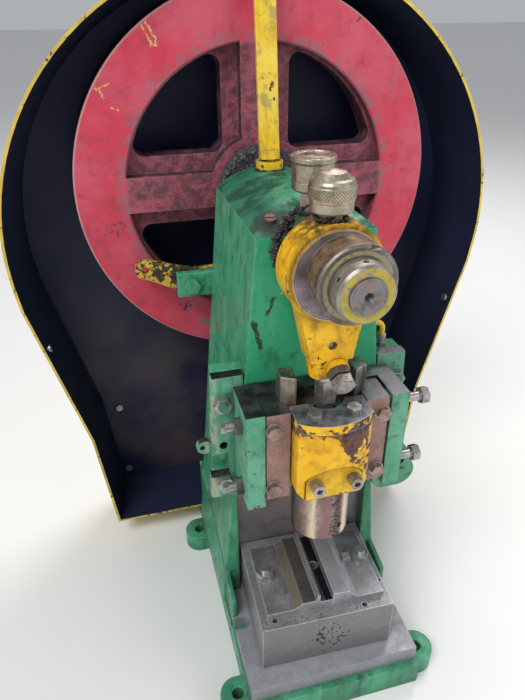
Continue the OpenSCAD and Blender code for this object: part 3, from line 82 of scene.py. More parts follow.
# Colours, linear
BROWN_RUST = (0.13, 0.055, 0.03)
# Dark grease, also used as painted shade in corners
GREASE_AND_SHADE = (0.018, 0.015, 0.014)
GREEN = (0.045, 0.295, 0.150)
GREEN_PALE = (0.090, 0.370, 0.215)
GREEN_DEEP = (0.022, 0.150, 0.080)
YELLOW = (0.88, 0.47, 0.004)
YELLOW_PALE = (0.90, 0.56, 0.02)
YELLOW_DEEP = (0.62, 0.27, 0.008)
FLOOR = (0.80, 0.79, 0.77)
SKY, SKY_POWER = (0.90, 0.94, 1.0, 1.0), 0.46


def make_camera():
    data = bpy.data.cameras.new("camera")
    data.sensor_width = SENSOR_MM
    data.lens = FOCAL_PX * SENSOR_MM / LONG_SIDE_PX
    data.clip_start = 0.01
    data.clip_end = 60
    camera = bpy.data.objects.new("camera", data)
    bpy.context.scene.collection.objects.link(camera)
    level = math.cos(PITCH)
    forward = Vector((math.sin(YAW) * level, math.cos(YAW) * level, -math.sin(PITCH)))
    right = Vector((math.cos(YAW), -math.sin(YAW), 0))
    up = right.cross(forward)
    across = right * math.cos(ROLL) + up * math.sin(ROLL)
    upward = up * math.cos(ROLL) - right * math.sin(ROLL)
    place = Matrix((across, upward, -forward)).transposed().to_4x4()
    place.translation = EYE
    camera.matrix_world = place
    bpy.context.scene.camera = camera


make_camera()
bpy.context.scene.view_settings.view_transform = "Standard"


class Shader:
    """One Principled material whose patterns run in the piece's own coordinates, in metres."""

    def __init__(self, name):
        self.material = bpy.data.materials.new(name)
        self.material.use_nodes = True
        self.nodes = self.material.node_tree.nodes
        self.links = self.material.node_tree.links
        self.nodes.clear()
        output = self.add("ShaderNodeOutputMaterial")
        self.bsdf = self.add("ShaderNodeBsdfPrincipled")
        self.feed(output.inputs[0], self.bsdf.outputs[0])
        texture = self.add("ShaderNodeTexCoord")
        self.spot = texture.outputs["Object"]
        self.place = self.split(self.spot)
        self.facing = self.split(texture.outputs["Normal"])
        self.x, self.y, self.z = self.place.values()
        MATERIALS[name] = self.material

    def add(self, kind, inputs=None, **settings):
        """New node with these settings; inputs is by socket name or number."""
        node = self.nodes.new(kind)
        for name, value in settings.items():
            setattr(node, name, value)
        for socket, value in (inputs or {}).items():
            self.feed(node.inputs[socket], value)
        return node

    def feed(self, socket, value):
        if isinstance(value, bpy.types.NodeSocket):
            self.links.new(value, socket)
        elif socket.type == "RGBA":
            socket.default_value = (*value, 1.0)
        else:
            socket.default_value = value

    def split(self, vector):
        return dict(zip("XYZ", self.add("ShaderNodeSeparateXYZ", {0: vector}).outputs))

    def math(self, operation, a, b=0.0):
        return self.add("ShaderNodeMath", {0: a, 1: b}, operation=operation).outputs[0]

    def plus(self, a, b):
        return self.math("ADD", a, b)

    def minus(self, a, b):
        return self.math("SUBTRACT", a, b)

    def larger(self, a, b):
        return self.math("MAXIMUM", a, b)

    def unsigned(self, value):
        return self.math("ABSOLUTE", value)

    def product(self, *values):
        result = values[0]
        for value in values[1:]:
            result = self.math("MULTIPLY", result, value)
        return result

    def total(self, *terms):
        """Sum of (value, share) pairs."""
        result = self.product(*terms[0])
        for term in terms[1:]:
            result = self.plus(result, self.product(*term))
        return result

    def mix(self, factor, a, b):
        """Colour a where the factor is 0, b where it is 1."""
        return self.add("ShaderNodeMix", {0: factor, 6: a, 7: b}, data_type="RGBA").outputs[2]

    def blend(self, factor, a, b):
        """Number a where the factor is 0, b where it is 1."""
        return self.add("ShaderNodeMix", {0: factor, 2: a, 3: b}).outputs[0]

    def step(self, value, low, high, to_low=0.0, to_high=1.0):
        """Goes smoothly from one number to the other while the value rises from low to high."""
        limits = {"Value": value, "From Min": low, "From Max": high, "To Min": to_low, "To Max": to_high}
        return self.add("ShaderNodeMapRange", limits, interpolation_type="SMOOTHSTEP").outputs["Result"]

    def fall(self, value, low, high):
        return self.step(value, low, high, 1.0, 0.0)

    def beyond(self, value, limit, soft):
        return self.step(value, limit - soft, limit + soft)

    def short_of(self, value, limit, soft):
        return self.fall(value, limit - soft, limit + soft)

    def between(self, value, low, high, soft=0.0008):
        return self.product(self.beyond(value, low, soft), self.short_of(value, high, soft))

    def inside(self, spans, soft=0.0008):
        """1 inside a box, given by its spans along X, Y and Z; None is no limit."""
        limited = [(letter, span) for letter, span in zip("XYZ", spans) if span]
        return self.product(*(self.between(self.place[letter], *span, soft) for letter, span in limited))

    def towards(self, letter, sign, low, high):
        """1 where the surface faces along an axis."""
        return self.step(self.product(self.facing[letter], sign), low, high)

    def from_axis(self, a, b, letters="XZ"):
        """Distance from an axis that crosses the plane of these letters at a, b."""
        first = self.minus(self.place[letters[0]], a)
        second = self.minus(self.place[letters[1]], b)
        return self.math("SQRT", self.plus(self.product(first, first), self.product(second, second)))

    def noise(self, size, detail=4.0, rough=0.55, stretch=(1, 1, 1), shift=0.0, warp=0.0):
        """Noise whose lumps are about this many millimetres across, longer where stretch is over 1."""
        scale = tuple(1 / ratio for ratio in stretch)
        place = {"Vector": self.spot, "Location": (shift, shift * 0.7, -shift * 0.4), "Scale": scale}
        vector = self.add("ShaderNodeMapping", place).outputs[0]
        lumps = {"Vector": vector, "Scale": 1 / (size * MM), "Detail": detail, "Roughness": rough,
                 "Distortion": warp}
        return self.add("ShaderNodeTexNoise", lumps).outputs[0]

    def patches(self, size, low, high, detail=4.0, rough=0.55, **more):
        """Patches of about this many millimetres, cut from noise between low and high."""
        return self.step(self.noise(size, detail, rough, **more), low, high)

    def drift(self, size, reach, rough=0.55, **more):
        """Wanders by up to half the reach to each side of 0."""
        return self.product(self.minus(self.noise(size, 4, rough, **more), 0.5), reach)

    def edge(self, radius, low=0.02, high=0.25):
        """1 on the outer edges of the piece, 0 on its faces; the radius is in millimetres."""
        rounded = self.add("ShaderNodeBevel", {"Radius": radius * MM}, samples=5).outputs[0]
        real = self.add("ShaderNodeNewGeometry").outputs["Normal"]
        dot = self.add("ShaderNodeVectorMath", {0: rounded, 1: real}, operation="DOT_PRODUCT")
        return self.step(self.minus(1.0, dot.outputs["Value"]), low, high)

    def corner(self, distance, low=0.35, high=0.85):
        """1 deep in corners and gaps, 0 on open faces; what it darkens is painted shade. The distance is in
        millimetres.
        """
        node = self.add("ShaderNodeAmbientOcclusion", {"Distance": distance * MM}, samples=5)
        return self.fall(node.outputs["AO"], low, high)

    def soft_edges(self, radius):
        return self.add("ShaderNodeBevel", {"Radius": radius * MM}, samples=4).outputs[0]

    def bump(self, height, depth, strength, below=None):
        node = self.add("ShaderNodeBump", {"Strength": strength, "Distance": depth * MM, "Height": height})
        if below is not None:
            self.feed(node.inputs["Normal"], below)
        return node.outputs[0]

    def stroke(self, start, end, width, drift, soft):
        """Uneven mark between two points of an XZ plane; its width and softness are in millimetres."""
        length = math.hypot(end[0] - start[0], end[1] - start[1])
        cos, sin = (end[0] - start[0]) / length, (end[1] - start[1]) / length
        px = self.minus(self.x, start[0])
        pz = self.minus(self.z, start[1])
        along = self.total((px, cos), (pz, sin))
        across = self.unsigned(self.plus(self.total((px, -sin), (pz, cos)), drift))
        ends = self.between(along, 0.0, length, soft * MM)
        return self.product(ends, self.fall(across, (width - soft) * MM / 2, width * MM / 2))

    def finish(self, coat, normal=None, specular=0.5):
        self.feed(self.bsdf.inputs["Specular IOR Level"], specular)
        self.feed(self.bsdf.inputs["Base Color"], coat.colour)
        self.feed(self.bsdf.inputs["Roughness"], coat.rough)
        self.feed(self.bsdf.inputs["Metallic"], coat.metal)
        if normal is not None:
            self.feed(self.bsdf.inputs["Normal"], normal)


class Coat:
    """Colour, roughness and metal share of a surface.

    tint changes the colour alone and lay all three, as far as the product of the shares goes.
    """

    def __init__(self, s, colour, rough=0.5, metal=0.0):
        self.s = s
        self.colour = colour
        self.rough = rough
        self.metal = metal

    def tint(self, colour, *shares):
        self.colour = self.s.mix(self.s.product(*shares), self.colour, colour)

    def lay(self, colour, rough, metal, *shares):
        share = self.s.product(*shares)
        self.tint(colour, share)
        self.rough = self.s.blend(share, self.rough, rough)
        self.metal = self.s.blend(share, self.metal, metal)


def scaled(colour, factor):
    return tuple(factor * part for part in colour)


def dark_oil(s, size, seed):
    """Colour and roughness of oily blackened metal."""
    tone = s.noise(size, 6, 0.65, shift=seed)
    oil = Coat(s, (0.022, 0.024, 0.026))
    oil.tint((0.075, 0.078, 0.082), s.step(tone, 0.35, 0.65))
    oil.tint((0.20, 0.19, 0.18), s.patches(3, 0.6, 0.7, 5, 0.7, shift=seed + 1), 0.5)
    return oil.colour, s.step(tone, 0.3, 0.7, 0.28, 0.55)


def worn_paint(name, colour, pale, deep, under, *, chips, chip_size, edge_wear, grime_and_shade, seed, streaks=0.3,
               gloss=0.38, cast=0.35, scratches=0.6, specular=0.35, edge_size=1.6, round_off=0.8,
               pale_edge_and_highlight=None, more_chips=None, lumps=None, layers=()):
    """Old enamel: fading, chips down to the metal, pale edges of wear and painted highlight, grease, painted
    shade in corners, streaks.

    more_chips and lumps are functions of the shader that add to the chips and to the relief. The layers
    are laid over the coat in their order.
    """
    s = Shader(name)
    coat = Coat(s, colour)
    coat.tint(pale, s.patches(55, 0.35, 0.68, 5, 0.6, shift=seed))
    coat.tint(deep, s.patches(16, 0.5, 0.75, 5, 0.65, shift=seed + 3))
    # Long streaks where oil has run down
    run = s.patches(9, 0.52, 0.72, 4, 0.6, stretch=(1, 1, 9), shift=seed + 5)
    coat.tint(scaled(deep, 0.35), run, streaks)
    edges = s.edge(edge_size)
    corner_shade = s.corner(14)
    # Pale paint along the edges: edge wear, and partly a painted highlight
    if pale_edge_and_highlight is not None:
        coat.tint(pale_edge_and_highlight, edges, s.patches(12, 0.3, 0.55, 4, 0.6, shift=seed + 9), 0.75)
    # Chips gather in patches and along edges
    fine = s.noise(chip_size, 7, 0.62, shift=seed + 1, warp=0.4)
    patch = s.noise(chip_size * 6, 3, 0.5, shift=seed + 2)
    level = s.total((fine, 0.62), (patch, 0.5), (edges, 0.11 * edge_wear))
    if more_chips is not None:
        level = s.plus(level, more_chips(s))
    cut = 0.735 - 0.11 * chips
    chip = s.step(level, cut, cut + 0.012)
    metal = s.mix(s.patches(6, 0.38, 0.62, 5, 0.7, shift=seed + 4), under, scaled(under, 0.35))
    # Hairline scratches: thin ridges of a warped noise, in patches
    ridge = s.unsigned(s.minus(s.noise(15, 4, 0.6, shift=seed + 13, warp=1.6), 0.5))
    coat.tint(metal, s.fall(ridge, 0.004, 0.011), s.patches(26, 0.5, 0.6, 3, shift=seed + 14), scratches)
    coat.tint(metal, chip)
    # Grime in blotches that gather near corners, and painted shade deep in the corners
    blotch = s.step(s.total((s.noise(34, 6, 0.62, shift=seed + 7), 0.8), (corner_shade, 0.35)), 0.5, 0.78)
    coat.tint(GREASE_AND_SHADE, s.larger(blotch, s.product(corner_shade, 0.8)), grime_and_shade)
    enamel = s.step(s.noise(22, 3, shift=seed), 0.3, 0.7, gloss - 0.07, gloss + 0.14)
    coat.rough = s.blend(chip, enamel, 0.62)
    coat.metal = s.product(chip, 0.35)
    for layer in layers:
        layer(s, coat)
    grain = s.total((s.noise(3.2, 4, 0.6, shift=seed), 0.5 * cast),
                    (s.noise(14, 3, 0.5, shift=seed), cast), (chip, -0.35))
    if lumps is not None:
        grain = s.plus(grain, lumps(s))
    s.finish(coat, s.bump(grain, 0.7, 0.8, s.soft_edges(round_off)), specular)


def crown_stains(s, coat):
    """Black-green stains on top of the head, and a grey one round the crown screws."""
    top = s.product(s.towards("Z", 1, 0.5, 0.85), s.step(s.z, 0.49, 0.51))
    stain = s.patches(24, 0.42, 0.60, 6, 0.62, shift=2.5)
    coat.tint((0.020, 0.045, 0.034), top, stain, 0.8)
    coat.tint((0.016, 0.070, 0.050), top, s.fall(s.x, -0.035, 0.0), 0.45)
    from_screws = s.plus(s.from_axis(*CROWN_SCREWS, "XY"), s.product(s.noise(14, 5), 0.018))
    near = s.fall(from_screws, 0.020, 0.042)
    coat.tint((0.050, 0.044, 0.042), top, near, 0.8)
    coat.rough = s.blend(s.product(top, s.larger(stain, near)), coat.rough, 0.9)


def machined_relief(s, coat):
    """Bare brownish metal behind the die, bluer low down."""
    metal = Coat(s, (0.19, 0.155, 0.150))
    metal.tint((0.40, 0.32, 0.27), s.patches(34, 0.32, 0.68, 5, 0.6, stretch=(1.2, 1, 1.6), shift=6))
    metal.tint((0.15, 0.075, 0.05), s.patches(22, 0.55, 0.7, 5, 0.65, shift=7), 0.6)
    metal.tint((0.19, 0.21, 0.25), s.fall(s.z, 0.17, 0.20), 0.4)
    metal.tint((0.46, 0.42, 0.38), s.patches(5, 0.64, 0.7, 5, 0.7, shift=9), 0.5)
    coat.lay(metal.colour, 0.38, 0.45, s.inside(RELIEF))


def front_drips(s, coat):
    """Brighter green, partly fresher paint and partly painted light, two crusts and a drip of yellow on the
    front of the head beside the rod.
    """
    front = s.product(s.towards("Y", -1, 0.6, 0.9), s.inside(HEAD_FRONT, 0.006))
    # The front face gets a brighter green: painted light on the lit face, partly fresher paint
    coat.tint((0.035, 0.43, 0.20), front, 0.6)
    coat.tint((0.04, 0.10, 0.05), front, s.patches(18, 0.54, 0.66, 5, 0.6, stretch=(1, 1, 2), shift=12), 0.4)
    drift = s.drift(6, 0.009, 0.6, shift=4)
    torn = s.patches(3.0, 0.36, 0.46, 5, 0.65, shift=5)
    for start, end, width in (
        ((-0.0608, 0.4400), (-0.0530, 0.4080), 6.0),
        ((-0.040, 0.462), (-0.047, 0.444), 4.0),
    ):
        crust = s.stroke(start, end, width, drift, 2.0)
        coat.lay((0.035, 0.022, 0.012), 0.6, 0.0, front, crust, torn, 0.9)
    drip = s.stroke((-0.034, 0.4655), (-0.020, 0.4675), 2.6, drift, 0.8)
    coat.lay((0.62, 0.42, 0.03), 0.4, 0.0, front, drip)


def low_dirt(s, coat):
    """Dirt low down, chalky smears that run down, and dark specks."""
    darkening = s.patches(40, 0.40, 0.66, 6, 0.6, stretch=(1, 1, 2.5), shift=14)
    coat.tint((0.045, 0.060, 0.042), s.fall(s.z, 0.03, 0.34), darkening, 0.5)
    chalk = s.patches(7, 0.50, 0.66, 5, 0.62, stretch=(1, 1.6, 7), shift=15)
    coat.tint((0.26, 0.42, 0.30), chalk, s.patches(70, 0.42, 0.6, 3, shift=16), 0.38)
    coat.tint((0.03, 0.025, 0.02), s.patches(2.4, 0.69, 0.73, 3, 0.6, shift=18), 0.7)


def oily_tops(s, coat):
    """Upward faces of the guides are bare and black with oil, paler on the right."""
    top = s.towards("Z", 1, 0.6, 0.85)
    colour, rough = dark_oil(s, 14, 3)
    coat.lay(colour, rough, 0.6, top)
    coat.tint((0.30, 0.31, 0.32), top, s.step(s.x, 0.03, 0.05), 0.6)


def channel_metal(s, coat):
    """Sliding faces between the walls of the guides are bare and oily."""
    colour, rough = dark_oil(s, 9, 7)
    coat.lay(colour, rough, 0.6, s.inside(CHANNEL))


def cream_edge(s, coat):
    """The paint of the left ear is worn pale along its outer edge."""
    worn = s.patches(9, 0.42, 0.56, 5, 0.65, stretch=(1, 1, 2.5), shift=17)
    coat.tint((0.50, 0.47, 0.36), s.inside(LEFT_EAR_EDGE, 0.003), worn, 0.75)


def bare_bars(s, coat):
    """Guide bars of the ram are bare steel, browner on the left and worn bright on their edges."""
    bars = s.larger(s.beyond(s.z, RAM_TOP_Z, 0.0005), s.beyond(s.unsigned(s.x), RAM_HALF_WIDTH, 0.0002))
    steel = Coat(s, (0.10, 0.095, 0.09))
    steel.tint((0.34, 0.33, 0.31), s.patches(9, 0.36, 0.64, 6, 0.65, stretch=(1, 1, 5), shift=3))
    steel.tint((0.66, 0.62, 0.55), s.edge(1.2), 0.8)
    left = s.product(s.short_of(s.x, 0.0, 0.001), s.towards("Y", -1, 0.5, 0.9))
    steel.tint((0.42, 0.31, 0.21), left, s.noise(12, 4), 0.9)
    coat.lay(steel.colour, 0.36, 0.75, bars)


def ram_wear(s):
    """The ram has lost its paint under the cap plate, deepest right of the middle."""
    off = s.unsigned(s.minus(s.x, 0.014))
    reach = s.larger(s.minus(0.036, s.product(off, 1.5)), 0.007)
    height = s.plus(s.minus(s.z, CAP_PLATE_Z), reach)
    return s.total((s.step(height, -0.006, 0.012), 0.19), (s.fall(s.z, 0.276, 0.286), 0.04))


def wheel_arms(s):
    return s.short_of(s.from_axis(0.0, SHAFT_Z), ARMS_END_R, 0.0035)


def wheel_lumps(s):
    """Arms and hub are rough as cast."""
    return s.product(wheel_arms(s), s.noise(7, 6, 0.62, shift=31), 4.5)


def wheel_shades(s, coat):
    """Arms and hub are dirty and browner than the rim, with painted shade on their side faces; the rim's
    outside is nearly black.
    """
    radius = s.from_axis(0.0, SHAFT_Z)
    arms = wheel_arms(s)
    smudge = s.patches(30, 0.5, 0.72, 6, 0.65, shift=25)
    inner = s.larger(s.step(radius, ARMS_END_R, 0.172, 0.8, 0.0), s.product(smudge, 0.3))
    coat.tint((0.20, 0.15, 0.17), inner, s.patches(9, 0.4, 0.6, 6, 0.65, shift=26))
    cast = s.mix(s.patches(11, 0.38, 0.62, 6, 0.65, shift=5), (0.105, 0.040, 0.055), (0.30, 0.082, 0.108))
    coat.tint(cast, arms, 0.88)
    brush = s.patches(22, 0.52, 0.60, 4, 0.6, stretch=(2.5, 1, 1), shift=28)
    coat.tint((0.46, 0.085, 0.13), arms, s.short_of(s.y, ARM_FACE_Y, 0.001), brush, 0.7)
    sideways = s.fall(s.unsigned(s.facing["Y"]), 0.3, 0.5)
    # Painted shade: the side faces of the arms are darkened
    coat.tint((0.030, 0.026, 0.038), arms, sideways, s.patches(14, 0.3, 0.5, shift=29), 0.85)
    rubbed = s.patches(4, 0.42, 0.6, 4, 0.6, shift=30)
    coat.tint((0.44, 0.26, 0.29), arms, s.edge(2.0, 0.01, 0.2), rubbed, 0.7)
    coat.tint((0.46, 0.32, 0.33), arms, s.patches(2.0, 0.63, 0.69, 4, 0.7, shift=9), 0.6)
    chamfer = s.step(radius, RIM_R - 0.0025, RIM_R - 0.0012)
    coat.tint((0.62, 0.42, 0.41), chamfer, s.towards("Y", -1, 0.3, 0.6), 0.6)
    coat.tint((0.040, 0.018, 0.020), s.step(radius, RIM_R - 0.0010, RIM_R - 0.0004), sideways)


def wheel_scratches(s, coat):
    """Scrapes of yellow on the upper left of the rim and a green smear low down."""
    face = s.towards("Y", -1, 0.6, 0.9)
    drift = s.drift(9, 0.007, 0.6, shift=23)
    broken = s.patches(2.0, 0.44, 0.50, 3, 0.6, shift=22)
    for start, end in (
        ((-0.1229, 0.6833), (-0.1170, 0.6720)), ((-0.1180, 0.6735), (-0.1120, 0.6600)),
        ((-0.1135, 0.6600), (-0.1064, 0.6600)), ((-0.1165, 0.6823), (-0.1069, 0.6654)),
        ((-0.1069, 0.6660), (-0.1075, 0.6591)), ((-0.1774, 0.6270), (-0.1687, 0.6182)),
        ((-0.1586, 0.6264), (-0.1704, 0.6202)), ((-0.1700, 0.6205), (-0.1655, 0.6120)),
        ((-0.1670, 0.6130), (-0.1640, 0.6120)), ((-0.1600, 0.6020), (-0.1520, 0.5990)),
    ):
        coat.tint((0.66, 0.44, 0.16), face, s.stroke(start, end, 2.6, drift, 0.8), broken, 0.9)
    smear = s.stroke((-0.0823, 0.3435), (-0.0690, 0.3371), 4.0, drift, 1.0)
    coat.tint((0.04, 0.30, 0.12), face, smear)


def plate_top(s, coat):
    """The cap plate's top is bare oily steel with a rubbed rim."""
    steel = Coat(s, (0.075, 0.070, 0.078))
    steel.tint((0.22, 0.22, 0.24), s.patches(12, 0.35, 0.65, 6, 0.65, shift=5))
    steel.tint((0.44, 0.44, 0.45), s.patches(2.5, 0.58, 0.66, 5, 0.7, shift=6), 0.6)
    coat.lay(steel.colour, 0.34, 0.5, s.towards("Z", 1, 0.6, 0.85))
    coat.lay((0.66, 0.64, 0.60), 0.32, 0.6, s.edge(1.4), 0.85)


def rod_grease(s, coat):
    """Grease on top of the big end round the cup, and at the rod's lower end."""
    top = s.step(s.z, 0.522, 0.545)
    coat.lay((0.05, 0.035, 0.022), 0.35, 0.1, top, s.patches(10, 0.38, 0.56, 6, 0.65, shift=4), 0.9)
    low = s.fall(s.z, 0.398, 0.412)
    coat.lay((0.06, 0.04, 0.02), 0.4, 0.1, low, s.patches(5, 0.45, 0.6, 5), 0.7)


def bar_stains(s, coat):
    """Soft grey-green stains and paler edges on the stay bar."""
    stain = s.patches(17, 0.50, 0.62, 6, 0.62, stretch=(1, 1, 1.6), shift=43)
    coat.tint((0.26, 0.225, 0.10), stain, 0.62)
    coat.tint((0.80, 0.64, 0.30), s.edge(1.3), 0.55)


def shaded_yellow(s, coat):
    """Orange-brown oil film in patches on yellow enamel, and painted shade in the corners."""
    coat.tint((0.42, 0.17, 0.012), s.patches(19, 0.46, 0.68, 6, 0.62, shift=35), 0.42)
    # Painted shade: darker orange deep in the corners
    coat.tint((0.20, 0.08, 0.012), s.corner(9, 0.45, 0.9), 0.5)


def lever_wear(s):
    return s.product(s.noise(9, 4, 0.6, shift=33), 0.16)


def oily_metal(name, colour, dark, light, *, grime_and_shade, rust, gloss, metallic, seed, grain=0.3, edge_shine=0.6,
               brush=(1, 1, 6), smooth=0.0, layers=()):
    """Bare metal with oil stains, brushed grain, rust, edges rubbed bright with a painted highlight, and
    painted shade in corners.
    """
    s = Shader(name)
    uneven = s.total((s.noise(28, 6, 0.65, shift=seed), 0.6), (s.noise(5, 5, 0.7, shift=seed + 2), 0.4))
    coat = Coat(s, dark)
    coat.tint(colour, s.blend(smooth, s.step(uneven, 0.36, 0.64), 0.72))
    scratch = s.noise(1.6, 3, 0.7, stretch=brush, shift=seed + 4)
    coat.tint(light, s.step(scratch, 0.55, 0.75), 0.45)
    spotty = s.total((s.noise(11, 6, 0.7, shift=seed + 6), 0.7), (s.noise(50, 2, shift=seed + 7), 0.3))
    spots = s.step(spotty, 0.66 - 0.2 * rust, 0.74 - 0.16 * rust)
    coat.tint(BROWN_RUST, spots, min(1.0, rust * 2))
    # Bright edges: rubbed metal, partly a painted highlight
    coat.tint(light, s.edge(0.9), s.patches(7, 0.3, 0.6, 3, shift=seed + 8), edge_shine)
    # Grease in blotches, and painted shade deep in the corners
    blotch = s.product(s.patches(20, 0.48, 0.72, 6, 0.62, shift=seed + 9), 0.8)
    darkening = s.product(s.larger(blotch, s.corner(8)), grime_and_shade)
    coat.tint(GREASE_AND_SHADE, darkening)
    sheen = s.step(s.noise(9, 5, 0.7, shift=seed + 3), 0.3, 0.7, gloss - 0.1, gloss + 0.16)
    coat.rough = s.total((sheen, 1.0), (spots, 0.2))
    coat.metal = s.product(s.minus(1.0, darkening), metallic)
    for layer in layers:
        layer(s, coat)
    height = s.total((scratch, 0.25 * grain), (s.noise(4, 5, 0.6, shift=seed), grain), (spots, -0.2))
    s.finish(coat, s.bump(height, 0.35, 0.7, s.soft_edges(0.5)))


def die_tones(s, coat):
    """Dark ridge and golden slopes left of the slot, rubbed lands right of it, painted shade towards the
    back and in the slot.
    """
    up = s.towards("Z", 1, 0.9, 0.97)
    left = s.fall(s.x, -0.002, 0.0)
    # Painted shade on the upward faces towards the back
    coat.tint((0.075, 0.075, 0.085), up, s.step(s.y, -0.05, 0.03), s.patches(24, 0.25, 0.6, shift=45), 0.6)
    ridge = s.product(up, s.beyond(s.z, DIE_RIDGE_Z, 0.0005))
    coat.tint((0.070, 0.054, 0.040), ridge, left, 0.85)
    coat.tint((0.50, 0.50, 0.53), ridge, s.minus(1.0, left), 0.5)
    flat = s.product(up, left, s.short_of(s.z, DIE_RIDGE_Z, 0.0005))
    coat.tint((0.085, 0.085, 0.092), flat, s.patches(30, 0.3, 0.6, shift=46), 0.6)
    slot_shade = s.product(s.between(s.x, *DIE_SLOT_X, 0.0004), s.short_of(s.z, DIE_TOP_Z, 0.0005))
    # Painted shade deep in the slot between the ridges
    coat.tint((0.010, 0.012, 0.020), up, slot_shade)
    lean = s.between(s.unsigned(s.facing["X"]), 0.3, 0.92, 0.06)
    golden = s.mix(left, (0.66, 0.66, 0.70), (0.20, 0.145, 0.085))
    coat.lay(golden, 0.3, 0.6, lean, s.step(s.facing["Z"], 0.2, 0.35), 0.75)
    # Bright edges: rubbed, partly a painted highlight
    coat.lay((0.88, 0.88, 0.90), 0.34, 0.5, s.edge(1.3, 0.01, 0.16), 0.9)


def die_pits(s, coat):
    """Brown cast front with a cluster of pits, sandy crumbs on the ledge and bright upper edges, partly a
    painted highlight.
    """
    low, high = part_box("die_block")
    front = s.towards("Y", -1, 0.8, 0.95)
    coat.tint((0.17, 0.155, 0.15), front, 0.55)
    from_middle = s.from_axis((low[0] + high[0]) / 2, (low[2] + high[2]) / 2)
    near = s.step(from_middle, 0.012, 0.036, 0.16, 0.0)
    pits = s.step(s.plus(s.noise(3.8, 2, 0.5, shift=41), near), 0.735, 0.76)
    coat.tint((0.010, 0.010, 0.012), front, pits)
    ledge = s.product(s.towards("Z", 1, 0.9, 0.97), s.fall(s.y, low[1] + 0.010, low[1] + 0.024),
                      s.patches(16, 0.40, 0.58, 4, 0.6, shift=48))
    crumbs = s.noise(1.8, 4, 0.7, shift=47)
    coat.tint((0.55, 0.53, 0.50), ledge, s.step(crumbs, 0.54, 0.60), 0.8)
    coat.tint((0.03, 0.03, 0.03), ledge, s.fall(crumbs, 0.42, 0.47), 0.8)
    # Bright edges: rubbed, partly a painted highlight
    coat.lay((0.84, 0.83, 0.82), 0.36, 0.5, s.edge(1.5, 0.01, 0.16), 0.85)


def holder_bands(s, coat):
    """Upright bands on the turned holder: painted reflections, bright and dark, partly tint that oil and
    heat left, and a column of pits.
    """
    x = s.plus(s.x, s.drift(16, 0.008, stretch=(1, 1, 4)))
    # Bands along X: painted reflections, bright and dark, partly heat tint
    for left, right, soft, colour, share in (
        (-0.045, -0.025, 0.004, (0.085, 0.052, 0.040), 0.92),
        (-0.0195, -0.0150, 0.003, (0.92, 0.78, 0.56), 0.9),
        (-0.010, 0.002, 0.004, (0.25, 0.135, 0.14), 0.85),
        (0.005, 0.0125, 0.002, (0.085, 0.05, 0.04), 0.85),
        (0.0155, 0.0215, 0.002, (0.80, 0.64, 0.44), 0.85),
        (0.0265, 0.045, 0.003, (0.10, 0.065, 0.05), 0.9),
    ):
        coat.tint(colour, s.between(x, left, right, soft), share)
    pits = s.patches(2.6, 0.50, 0.56, 3, 0.6, shift=44)
    coat.lay((0.018, 0.012, 0.010), 0.6, 0.1, s.between(x, 0.001, 0.012, 0.002), pits)


def sheet_pan(name):
    """Guard: near-black and glossy inside, yellow outside and on the open edge."""
    s = Shader(name)
    # The inside of the walls faces the pan's middle: its upright centre line low down, its hub above
    above_middle = s.larger(s.minus(s.z, PAN_MIDDLE_Z), -0.06)
    outward = s.plus(s.product(s.facing["X"], s.x), s.product(s.facing["Z"], above_middle))
    wall = s.math("GREATER_THAN", s.product(outward, -1.0), 0.02)
    back = s.product(s.math("LESS_THAN", s.facing["Y"], -0.6), s.math("GREATER_THAN", s.y, PAN_BACK_Y))
    floor = s.product(s.math("GREATER_THAN", s.facing["Z"], 0.6), s.math("LESS_THAN", s.z, PAN_FLOOR_Z))
    inside = s.larger(s.larger(wall, back), floor)
    smear = s.noise(60, 6, 0.6)
    black = Coat(s, (0.0100, 0.0125, 0.040))
    black.tint((0.0150, 0.0185, 0.056), s.step(smear, 0.35, 0.7))
    black.tint((0.030, 0.026, 0.032), s.patches(120, 0.5, 0.8, 4, 0.6, stretch=(1, 1, 2)), 0.2)
    black.tint((0.064, 0.050, 0.058), back, s.fall(s.z, 0.20, 0.42), s.patches(90, 0.30, 0.62, shift=6))
    black.tint((0.019, 0.023, 0.047), wall, 0.75)
    black.tint((0.05, 0.045, 0.05), s.patches(9, 0.66, 0.74, 6, 0.75, shift=4), 0.25)
    chipped = s.total((s.noise(6, 6, 0.65, shift=2), 0.7), (s.noise(50, 2, shift=5), 0.4))
    chip = s.step(chipped, 0.62, 0.64)
    coat = Coat(s, (0.78, 0.55, 0.08))
    coat.tint((0.60, 0.42, 0.08), s.patches(30, 0.35, 0.65, 5, 0.6))
    coat.tint((0.05, 0.045, 0.045), chip)
    coat.tint((0.12, 0.08, 0.03), s.patches(25, 0.5, 0.75, 5, 0.65, shift=8), 0.5)
    coat.tint(black.colour, inside)
    coat.rough = s.blend(inside, s.step(smear, 0.3, 0.7, 0.34, 0.5), s.step(smear, 0.3, 0.7, 0.3, 0.46))
    height = s.total((s.noise(150, 2, 0.4), 1.0), (s.noise(5, 3), 0.05), (chip, -0.03))
    s.finish(coat, s.bump(height, 2.5, 0.5), 0.22)


